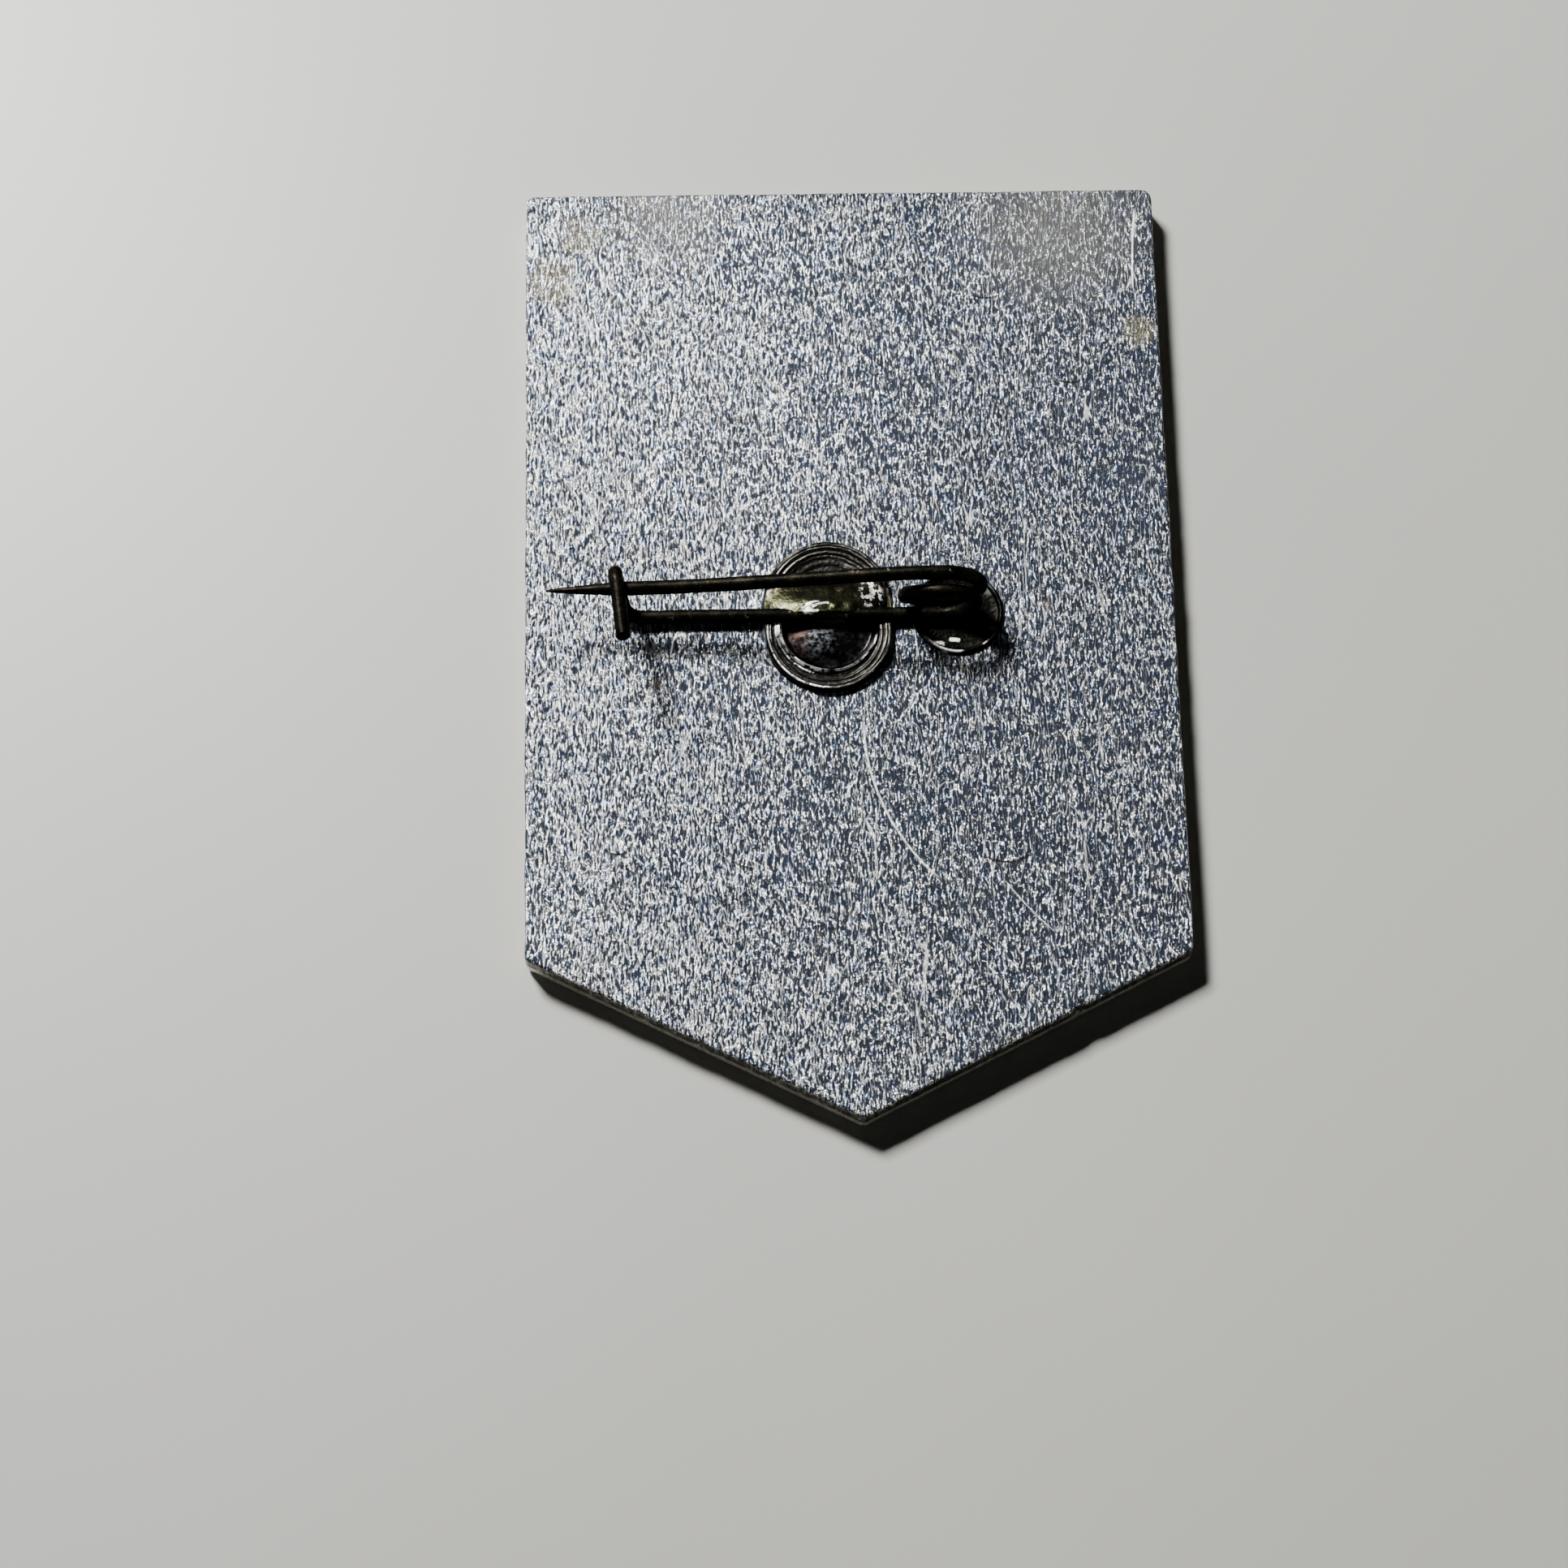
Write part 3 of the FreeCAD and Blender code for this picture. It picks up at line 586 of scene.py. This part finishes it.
def steel():
    """Dark blued wire with an olive sheen, pits and brown rust."""
    made, tree, shader = material("steel_wire")
    plain = object_space(tree)
    pits = noise_texture(tree, plain, 5.5, 4, 0.65)
    cloud = noise_texture(tree, plain, 0.8, 4, 0.6)
    colour = colour_steps(tree, cloud, [(0.32, (0.003, 0.003, 0.003)), (0.52, (0.007, 0.007, 0.005)),
                                        (0.75, (0.022, 0.021, 0.015))])
    rust = maths(tree, "MULTIPLY", spread(tree, pits, 0.50, 0.66), spread(tree, cloud, 0.42, 0.62))
    colour = blend_colours(tree, maths(tree, "MULTIPLY", rust, 0.7), colour, (0.026, 0.014, 0.010))
    worn = spread(tree, noise_texture(tree, object_space(tree, place=(2, 5, 8)), 2.3, 3, 0.7), 0.64, 0.72)
    colour = blend_colours(tree, maths(tree, "MULTIPLY", worn, 0.8), colour, (0.20, 0.19, 0.13))
    tree.links.new(colour, shader.inputs["Base Color"])
    tree.links.new(spread(tree, pits, 0.3, 0.7, 0.26, 0.56), shader.inputs["Roughness"])
    tree.links.new(bump(tree, pits, 0.02 * MM, 0.7), shader.inputs["Normal"])
    shader.inputs["Metallic"].default_value = 0.85
    shader.inputs["Specular Tint"].default_value = (0.16, 0.155, 0.13, 1)
    shader.inputs["Specular IOR Level"].default_value = 0.2
    return made


def enamel(name, colour, deep):
    """Fired glassy enamel: slightly wavy gloss, faint clouding and fine specks."""
    made, tree, shader = material(name)
    plain = object_space(tree)
    cloud = noise_texture(tree, plain, 0.35, 4, 0.6)
    specks = noise_texture(tree, plain, 6.0, 2, 0.5)
    body = blend_colours(tree, spread(tree, cloud, 0.35, 0.70), colour, deep)
    body = blend_colours(tree, maths(tree, "MULTIPLY", spread(tree, specks, 0.68, 0.76), 0.5), body,
                         tuple(c * 0.55 for c in deep))
    tree.links.new(body, shader.inputs["Base Color"])
    tree.links.new(spread(tree, cloud, 0.3, 0.7, 0.14, 0.24), shader.inputs["Roughness"])
    waves = noise_texture(tree, plain, 0.9, 2, 0.4)
    tree.links.new(bump(tree, waves, 0.02 * MM, 0.5), shader.inputs["Normal"])
    shader.inputs["Coat Weight"].default_value = 0.6
    shader.inputs["Coat Roughness"].default_value = 0.05
    return made


def dish_shade_and_reflections():
    """Hollow of the clinch painted near-black as shade, with painted reflections: brown at the west,
    blue-grey in the middle.
    """
    made, tree, shader = material("dish_shade_and_reflections")
    plain = object_space(tree)
    cloud = noise_texture(tree, plain, 1.3, 4, 0.62)
    fine = noise_texture(tree, plain, 5.0, 3, 0.6)
    colour = colour_steps(tree, cloud, [(0.36, (0.007, 0.007, 0.007)), (0.55, (0.024, 0.024, 0.025)),
                                        (0.74, (0.10, 0.10, 0.11))])
    brown = maths(tree, "MULTIPLY", spot(tree, (-2.6, -0.1), 1.5, 0.9), spread(tree, fine, 0.36, 0.6))
    colour = blend_colours(tree, maths(tree, "MULTIPLY", brown, 0.85), colour, (0.048, 0.026, 0.020))
    grey = maths(tree, "MULTIPLY", spot(tree, (-1.5, -0.3), 1.1, 0.9), spread(tree, fine, 0.44, 0.6))
    colour = blend_colours(tree, maths(tree, "MULTIPLY", grey, 0.6), colour, (0.26, 0.29, 0.33))
    tree.links.new(colour, shader.inputs["Base Color"])
    tree.links.new(spread(tree, fine, 0.3, 0.7, 0.22, 0.42), shader.inputs["Roughness"])
    tree.links.new(bump(tree, fine, 0.02 * MM, 0.8), shader.inputs["Normal"])
    shader.inputs["Metallic"].default_value = 1.0
    return made


plate_metal = plate_aluminium()
worked_metal = clinch_metal()
seat_shade_and_highlights = seat_metal()
dark_metal = dish_shade_and_reflections()
torn_metal = edge_metal()
front_metal = struck_metal()
wire_steel = steel()


# ---------------------------------------------------------------- outline of the badge

OUTLINE_STEP = 0.22
CORNER_STEPS = 9


def outline():
    """Points round the badge, anticlockwise from its top right corner."""
    corners = np.array([(HALF_WIDTH, TOP), (-HALF_WIDTH, TOP), (-HALF_WIDTH, SHOULDER), (0, TIP),
                        (HALF_WIDTH, SHOULDER)])
    turns, counts = [], []
    for k, corner in enumerate(corners):
        come, leave = corner - corners[k - 1], corners[(k + 1) % len(corners)] - corner
        counts.append(int(np.linalg.norm(leave) / OUTLINE_STEP))
        come, leave = come / np.linalg.norm(come), leave / np.linalg.norm(leave)
        setback = CORNER_RADIUS * math.tan(math.acos(come.dot(leave)) / 2)
        first = np.append(corner - come * setback, 0)
        last = np.append(corner + leave * setback, 0)
        turns.append((first, arc_from(first, np.append(come, 0), last, CORNER_STEPS)))
    points = []
    for k, (first, arc) in enumerate(turns):
        points.append(first)
        points.extend(arc[:-1])
        start, end = arc[-1], turns[(k + 1) % len(turns)][0]
        points.extend(start + (end - start) * i / counts[k] for i in range(counts[k]))
    return np.array(points)[:, :2]


def stadium(radius, angles):
    """Distance from the clinch's middle to a stadium with round ends, at each angle."""
    cosine, sine = np.abs(np.cos(angles)), np.abs(np.sin(angles))
    flat = radius / np.maximum(cosine, 1e-6)
    cap = CLINCH_STRETCH * sine + np.sqrt(np.maximum(radius ** 2 - (CLINCH_STRETCH * cosine) ** 2, 0))
    return np.where(flat * sine <= CLINCH_STRETCH, flat, cap)


BOSS_HEIGHT = 0.42
TERRACES = [(2.96, 2.90, 0.08), (2.76, 2.69, 0.10), (2.54, 2.46, 0.05)]  # from, to, step down
BEADS = [(2.84, 0.05), (2.60, 0.045)]  # middle, half width
BEAD_HEIGHT = 0.035
FLAP_HUMP = (0.15, 3.05)  # how far west of the middle the flap is highest, and its half width
FLAP_EDGE = -0.40  # the flap's south edge, from the wire's centre line
FLAP_NORTH = (1.85, 1.45)  # where the flap leaves the upper terraces


def bead(distance, middle, width):
    """Round ridge, 1 high in its middle."""
    return np.exp(-((distance - middle) / width) ** 2)


def clinch_height(x, y):
    """Level over the back, inside the foot of the clinch: terraces, dish, and the flap over the wire."""
    dx, dy = x - CLINCH[0], y - CLINCH[1]
    reach = np.hypot(dx, np.maximum(np.abs(dy) - CLINCH_STRETCH, 0))
    angle = np.arctan2(dy, dx)
    wobble = 0.035 * noise(np.cos(angle) * 2.2 + 7, np.sin(angle) * 2.2, 31)
    r = reach + wobble
    inner = np.hypot(dx, np.maximum(np.abs(dy) - DISH_STRETCH, 0)) + wobble
    north = ramp(-0.4, 0.5, dy)
    south = 1 - north
    south_west = south * ramp(0.8, -0.8, dx)

    # outer wall and the terraces, each with a low bead at its lip
    level = BOSS_HEIGHT * ramp(CLINCH_RADIUS + 0.02, CLINCH_RADIUS - 0.12, r)
    for outer_end, inner_end, drop in TERRACES:
        level -= drop * ramp(outer_end, inner_end, r)
    for middle, width in BEADS:
        level += BEAD_HEIGHT * bead(r, middle, width)

    # south dish with a low dome inside a rolled lip, wider on its west side, and a shallow north dish
    lip = (0.10 + 0.06 * south_west) * bead(inner, DISH_RADIUS, 0.065 + 0.045 * south_west)
    dome = 0.22 * ramp(2.1, 0.4, inner)
    moat = 0.34 * ramp(DISH_RADIUS - 0.04, DISH_RADIUS - 0.34, inner)
    level += south * (lip + dome - moat)
    level -= north * (0.08 * ramp(2.40, 2.24, r) + 0.05 * ramp(2.05, 1.95, r))

    # the flap climbs southwards over the whole width, covers the wire and slopes down to the south dish
    westwards, half_width = FLAP_HUMP
    hump = np.clip(1 - (np.abs(dx + westwards) / half_width) ** 2.6, 0, 1)
    flap = 0.16 + hump * (0.14 + 0.56 * ramp(1.75, 0.25, dy))
    roll = 0.40 * ramp(0.06, -0.42, dy) * hump
    facets = 0.05 * noise(x * 1.25 + 0.4, y * 1.1, 14) + 0.035 * noise(x * 2.7, y * 2.3, 15)
    flap = flap - roll + facets * hump * ramp(-0.1, 0.5, dy)
    edge = FLAP_EDGE + 0.03 * noise(dx * 1.9, 0 * dx, 12)
    covered = ramp(edge - 0.07, edge + 0.05, dy) * ramp(*FLAP_NORTH, dy)
    covered *= ramp(CLINCH_RADIUS, CLINCH_RADIUS - 0.12, r)
    level = level + (flap - level) * covered
    return level + 0.010 * noise(x * 2.4, y * 2.4, 8) * ramp(3.1, 2.8, r)


def plate_waviness(x, y):
    """Small unevenness of the hand-finished back."""
    wave = 0.010 * noise(x * 0.35, y * 0.25, 1) + 0.006 * noise(x * 1.1, y * 0.5, 2)
    wave += 0.004 * noise(x * 2.3 + y * 0.3, y * 0.7, 4)
    return wave


EDGE_TURNS = (18, 38, 58, 76, 90)  # degrees round the rounded edge at which the mesh has a ring
NICKS = [((-HALF_WIDTH, 15.8), 1.0, 0.09), ((10.4, -19.2), 0.8, 0.06)]  # place, depth, squared width


def nicks_at(rim):
    """How deep the nicks in the upper edge are at each point of the outline."""
    return sum(depth * np.exp(-((rim - place) ** 2).sum(1) / width) for place, depth, width in NICKS)


def back_material(x, y, z):
    """Slot of the material at a place on the back or its edge."""
    across, up = x - CLINCH[0], y - CLINCH[1]
    if math.hypot(across, max(abs(up) - CLINCH_STRETCH, 0)) < CLINCH_RADIUS and z > SPLIT_LEVEL + 0.3:
        in_dish = math.hypot(across, max(abs(up) - DISH_STRETCH, 0)) < DISH_RADIUS - 0.12
        return DISH if in_dish and up < -0.30 else WORKED
    return TORN if z < BACK - EDGE_ROUND * 0.45 else PLAIN


def make_back():
    """Back face, clinch and the torn upper part of the edge, as one closed mesh."""
    rim = outline()
    offsets = rim - CLINCH
    angles = np.arctan2(offsets[:, 1], offsets[:, 0])
    far = np.linalg.norm(offsets, axis=1)
    travel = np.concatenate([[0], np.cumsum(np.linalg.norm(np.diff(rim, axis=0), axis=1))])
    burr = 0.034 * noise(travel * 0.8, 0 * travel, 21) + 0.018 * noise(travel * 3.1, 0 * travel, 22)
    nick = nicks_at(rim)
    unit = np.stack([np.cos(angles), np.sin(angles)], 1)
    foot = stadium(CLINCH_RADIUS + 0.04, angles)
    rings = []

    def place(distance):
        """Points at these distances from the clinch's middle, one in each direction."""
        return CLINCH + unit * distance[:, None]

    def ring(distance, level):
        """Adds a ring of the mesh at these distances and levels."""
        rings.append(np.column_stack([place(distance), level]))

    # inner rings: the clinch, closely spaced where its terraces are
    inside = np.concatenate([np.linspace(0.02, 0.60, 22)[:-1], np.linspace(0.60, 0.80, 12)[:-1],
                             np.linspace(0.80, 1.0, 34)])
    for share in inside:
        ring(foot * share, BACK + clinch_height(*place(foot * share).T))
    # the plain back from the clinch's foot to the edge
    for share in np.linspace(0, 1, 62)[1:]:
        distance = foot + (far - EDGE_ROUND * 1.15 - foot) * share
        ring(distance, BACK + plate_waviness(*place(distance).T) * (1 - 0.4 * share))
    # rounded and slightly raised edge, then the rough wall below it
    levels = rings[-1][:, 2]
    for turn in EDGE_TURNS:
        inward = EDGE_ROUND * (1 - math.sin(math.radians(turn)))
        drop = EDGE_ROUND * (1 - math.cos(math.radians(turn)))
        raised = 0.018 * noise(travel * 1.7, 0 * travel, 25) * math.sin(math.radians(turn * 2))
        ring(far - inward + burr * (turn / 90) - nick * 0.22 * ramp(0, 60, turn),
             levels - drop + raised - nick * 0.05)
    for level in np.linspace(BACK - 0.22, SPLIT_LEVEL, 9):
        rough = 0.022 * noise(travel * 2.6, level * 4 + 0 * travel, 40)
        rough += 0.012 * noise(travel * 7, level * 9 + 0 * travel, 41)
        fade = ramp(SPLIT_LEVEL, SPLIT_LEVEL + 0.12, level)
        ring(far + burr * 0.6 * fade + rough * fade - nick * 0.16 * fade + 0.012 * (1 - fade),
             np.full(len(far), level))
    ring(far - 0.25, np.full(len(far), SPLIT_LEVEL))

    points, faces = skin(rings)
    back = add_mesh("badge_back", points, faces, plate_metal, "badge", "plate_aluminium",
                    replaces=("badge_body",))
    for extra in (worked_metal, dark_metal, torn_metal):
        back.data.materials.append(extra)
    for face in back.data.polygons:
        face.material_index = back_material(*np.array(face.center) / MM)
    return back


def make_front():
    """The CAD front with its raised lines and cells, cut below the torn part of the edge and closed."""
    mesh = frame["nodes"]["badge_body"].data.copy()
    mesh.name = "badge_front"
    cut = bmesh.new()
    cut.from_mesh(mesh)
    bmesh.ops.remove_doubles(cut, verts=cut.verts, dist=1e-7)
    plane = (SPLIT_LEVEL + 0.02) * MM
    bmesh.ops.bisect_plane(cut, geom=cut.verts[:] + cut.edges[:] + cut.faces[:], plane_co=(0, 0, plane),
                           plane_no=(0, 0, 1), clear_outer=True, dist=1e-8)
    rim = [edge for edge in cut.edges if edge.is_boundary]
    bmesh.ops.holes_fill(cut, edges=rim, sides=0)
    bmesh.ops.recalc_face_normals(cut, faces=cut.faces)
    cut.to_mesh(mesh)
    cut.free()
    mesh.materials.clear()
    mesh.materials.append(front_metal)
    for face in mesh.polygons:
        face.material_index = 0
    mesh.shade_smooth()
    mesh.set_sharp_from_angle(angle=math.radians(30))
    piece = bpy.data.objects.new("badge_front", mesh)
    bpy.context.scene.collection.objects.link(piece)
    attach(piece, "badge")
    return piece


SEAT_RING = [(2.28, -0.2), (2.27, 0.00), (2.24, 0.11), (2.20, 0.17), (2.15, 0.195), (2.08, 0.195),
             (2.03, 0.16), (1.99, 0.09), (1.96, 0.03), (1.90, 0.01)]  # radius, level
SEAT_FLOOR = [(radius, 0.0) for radius in (1.6, 1.3, 1.0, 0.7, 0.4, 0.1)]


def make_seat():
    """Low ring stamped round the foot of the coil, with a slightly uneven floor."""
    count = 160
    angles = np.arange(count) * 2 * math.pi / count
    unit = np.stack([np.cos(angles), np.sin(angles)], 1)
    rings = []
    for radius, level in SEAT_RING + SEAT_FLOOR:
        wobble = 0.03 * noise(np.cos(angles) * 1.6, np.sin(angles) * 1.6, 51) * (radius > 1.7)
        xy = SEAT + unit * (radius + wobble)[:, None]
        height = BACK + level + 0.012 + 0.010 * noise(xy[:, 0] * 2, xy[:, 1] * 2, 53)
        rings.append(np.column_stack([xy, height]))
    points, faces = skin(rings)
    add_mesh("badge_coil_seat", points, faces, seat_shade_and_highlights, "badge", "plate_aluminium")


# ---------------------------------------------------------------- wire

EAST = np.array([1.0, 0, 0])
COIL_RISE = 3.9  # from the coil's foot to its top, along the wire's centre line
COIL_PITCH = 0.8  # from one turn at the foot to the next, towards the badge's top edge
COIL_LEAN = 0.26  # the needle leaves the coil this far back towards the first turn
FIRST_TURN_DROP = 0.5  # top of the first turn, below the top of the coil
FIRST_TURN_BACK = 0.2  # and this far from the base wire, away from the second turn

NEEDLE_LEVEL_RUN = 1.75  # level run from the top of the coil, before the needle slopes down
NEEDLE_BEND = (-7.6, 1.35)  # across the badge, and below the top of the coil
NEEDLE_POINT_DROP = 1.7  # the point, below the top of the coil
NEEDLE_BENDS = (24.0, 60.0)  # radii of the bows at the two bends
NEEDLE_TAPER = 3.6  # length of the pointed end
NEEDLE_TIP = 0.11  # share of the wire's radius left at the point
NEEDLE_SWELL = 0.72  # below 1, the pointed end bulges; at 1 it would be a plain cone

HOOK_FOOT = -11.0  # where the base wire turns up into the hook
HOOK_ACROSS = -11.5
HOOK_RISE = 1.7  # end of the hook's slant, over the base wire
HOOK_SWAY = 0.4  # how far the open end leans back towards the coil
HOOK_REACH = 3.25  # open end beyond the needle
HOOK_BEND = 0.9
HOOK_GAP = 0.1  # between the needle and the loop over it
HOOK_SLOPE = math.radians(14)  # rise of the open end


def add_wire(name, path, radius, seed, body, node):
    """Wire along a path, in place of a CAD node."""
    add_mesh(name, *skin(tube(path, radius, seed)), wire_steel, body, "wire_steel", replaces=(node,))


def coil_path(base_end, split):
    """Half circles from the base wire's end to the hinge axis, between the coil's foot and its top."""
    foot, top = WIRE_LEVEL, WIRE_LEVEL + COIL_RISE
    stations = [base_end,
                np.array([COIL_ACROSS, WIRE_UP - FIRST_TURN_BACK, top - FIRST_TURN_DROP]),
                np.array([COIL_ACROSS, WIRE_UP + COIL_PITCH, foot]),
                split]
    path, heading = [base_end[None, :]], EAST
    for start, end in zip(stations, stations[1:]):
        path.append(arc_from(start, heading, end, 60))
        heading = -heading
    return np.concatenate(path)


def needle_route(split, leave):
    """Centre line of the needle, from the coil to its point, and the middle of its bend."""
    summit = np.array([COIL_ACROSS, WIRE_UP + COIL_PITCH - COIL_LEAN, WIRE_LEVEL + COIL_RISE])
    bend = np.array([NEEDLE_BEND[0], summit[1], summit[2] - NEEDLE_BEND[1]])
    point = np.array([needle_low[0], summit[1], summit[2] - NEEDLE_POINT_DROP])
    first = np.vstack([split, arc_from(split, leave, summit, 14)])
    shank = rounded([summit, summit - EAST * NEEDLE_LEVEL_RUN, bend, point], NEEDLE_BENDS, 24)
    return walk(np.vstack([first, shank[1:]]), 0.12), bend, point


def hook_route(base_start, bend, point):
    """Centre line of the catch hook: up from the base wire and over the needle in an open loop."""
    loop = 2 * WIRE_RADIUS + HOOK_GAP
    under = bend + (point - bend) * (HOOK_ACROSS - bend[0]) / (point[0] - bend[0])
    behind = under[1] + loop
    turn_level = under[2] + loop * (1 - math.sin(HOOK_SLOPE)) / math.cos(HOOK_SLOPE)
    reach = HOOK_REACH + loop
    corners = [base_start, (HOOK_FOOT, WIRE_UP, WIRE_LEVEL), (HOOK_ACROSS, behind, WIRE_LEVEL + HOOK_RISE),
               (HOOK_ACROSS, behind, turn_level),
               (HOOK_ACROSS + HOOK_SWAY, behind - reach * math.cos(HOOK_SLOPE),
                turn_level + reach * math.sin(HOOK_SLOPE))]
    return walk(rounded(corners, (HOOK_BEND, HOOK_BEND, loop)), 0.1)


def make_wires():
    """The pin: one wire in four pieces, of which the needle turns with its own body."""
    base_start = np.array([base_low[0], WIRE_UP, WIRE_LEVEL])
    base_end = np.array([COIL_ACROSS, WIRE_UP, WIRE_LEVEL])
    add_wire("wire_base", walk([base_start, base_end], 0.2), WIRE_RADIUS, 60, "badge", "pin_base_wire")

    split = np.array(frame["joints"][0]["pos_m"]) / MM
    coil = coil_path(base_end, split)
    add_wire("wire_coil", coil, WIRE_RADIUS, 61, "badge", "pin_spring_coil")

    leave = coil[-1] - coil[-2]
    shank, bend, point = needle_route(split, leave / np.linalg.norm(leave))
    left = np.linalg.norm(shank - point, axis=1) / NEEDLE_TAPER
    taper = np.clip(NEEDLE_TIP + (1 - NEEDLE_TIP) * left ** NEEDLE_SWELL, NEEDLE_TIP, 1)
    add_wire("wire_needle", shank, WIRE_RADIUS * taper, 62, "needle", "pin_needle")
    add_wire("wire_hook", hook_route(base_start, bend, point), WIRE_RADIUS, 63, "badge", "pin_catch_hook")


# ---------------------------------------------------------------- enamel on the front

ENAMELS = {
    "crimson": ((0.42, 0.012, 0.02), (0.30, 0.006, 0.012), ["header_left", "header_right"]),
    "gold": ((0.80, 0.42, 0.05), (0.66, 0.30, 0.03), ["header_lozenge", "sun"]),
    "sky_blue": ((0.16, 0.42, 0.72), (0.10, 0.32, 0.62), ["sky"]),
    "white": ((0.80, 0.80, 0.77), (0.70, 0.71, 0.70), ["snow_left", "snow_right", "river_foam"]),
    "lilac": ((0.40, 0.34, 0.56), (0.32, 0.26, 0.48), ["slope_left_lit", "slope_right_lit"]),
    "slate": ((0.11, 0.13, 0.22), (0.07, 0.09, 0.16), ["slope_left_shade", "slope_right_shade"]),
    "green": ((0.06, 0.27, 0.07), (0.03, 0.19, 0.05), ["meadow"]),
    "deep_blue": ((0.02, 0.10, 0.36), (0.012, 0.06, 0.26), ["river_upper", "river_lower"]),
}


def paint_enamel():
    """Materials for the enamel cells, which stay CAD meshes."""
    for name, (colour, deep, cells) in ENAMELS.items():
        paint = enamel("enamel_" + name, colour, deep)
        for cell in cells:
            mesh = frame["nodes"]["enamel_" + cell].data
            mesh.materials.clear()
            mesh.materials.append(paint)


make_back()
make_front()
make_seat()
make_wires()
paint_enamel()


# ---------------------------------------------------------------- floor, light and camera

# from here on places and sizes are in metres
FLOOR_HALF = 1.2


def make_floor():
    """Wide sheet of pale, faintly clouded paper."""
    made, tree, shader = material("floor_paper")
    space = object_space(tree)
    shade = colour_steps(tree, noise_texture(tree, space, 0.02, 3, 0.5),
                         [(0.35, (0.470, 0.472, 0.448)), (0.65, (0.494, 0.496, 0.471))])
    tree.links.new(shade, shader.inputs["Base Color"])
    shader.inputs["Roughness"].default_value = 0.42
    mesh = bpy.data.meshes.new("floor")
    corners = [(x * FLOOR_HALF, y * FLOOR_HALF, 0) for x, y in ((-1, -1), (1, -1), (1, 1), (-1, 1))]
    mesh.from_pydata(corners, [], [(0, 1, 2, 3)])
    mesh.materials.append(made)
    floor = bpy.data.objects.new("floor", mesh)
    bpy.context.scene.collection.objects.link(floor)
    floor.location.z = -0.02 * MM


def make_light(name, direction, distance, size, power, colour=(1, 1, 1)):
    """Square area light that shines at the badge from a direction."""
    data = bpy.data.lights.new(name, "AREA")
    data.size, data.energy, data.color = size, power, colour
    light = bpy.data.objects.new(name, data)
    bpy.context.scene.collection.objects.link(light)
    away = Vector(direction).normalized()
    light.location = away * distance
    light.rotation_mode = "QUATERNION"
    light.rotation_quaternion = away.to_track_quat("Z", "Y")


def make_world(colour, overhead, horizon):
    """Dim room, paler round the horizon than overhead."""
    world = bpy.data.worlds.new("studio")
    world.use_nodes = True
    tree = world.node_tree
    background = tree.nodes["Background"]
    background.inputs["Color"].default_value = (*colour, 1)
    height = axis_of(tree, add_node(tree, "ShaderNodeTexCoord").outputs["Generated"], 2)
    tree.links.new(spread(tree, height, 0.10, 0.42, horizon, overhead), background.inputs["Strength"])
    bpy.context.scene.world = world


CAMERA_PLACE = (-0.0072519, -0.0744465, 0.1853865)
CAMERA_TURN = (20.0, -0.7707, -1.1428)
CAMERA_LENS, CAMERA_SENSOR = 92.526, 36.0


def make_camera():
    """Camera high above a place beyond the badge's point, tilted 20 degrees towards its top edge."""
    data = bpy.data.cameras.new("camera")
    data.sensor_width, data.lens = CAMERA_SENSOR, CAMERA_LENS
    data.clip_start, data.clip_end = 0.01, 10
    camera = bpy.data.objects.new("camera", data)
    bpy.context.scene.collection.objects.link(camera)
    camera.location = CAMERA_PLACE
    camera.rotation_euler = tuple(math.radians(angle) for angle in CAMERA_TURN)
    bpy.context.scene.camera = camera


make_floor()
make_light("key", (-0.393, 0.541, 0.743), 0.36, 0.075, 3.10, (1.0, 0.99, 0.96))
make_light("fill", (-0.8, -0.2, 0.9), 0.6, 0.35, 0.02)
make_world((0.93, 0.96, 1.0), 0.004, 0.11)
make_camera()
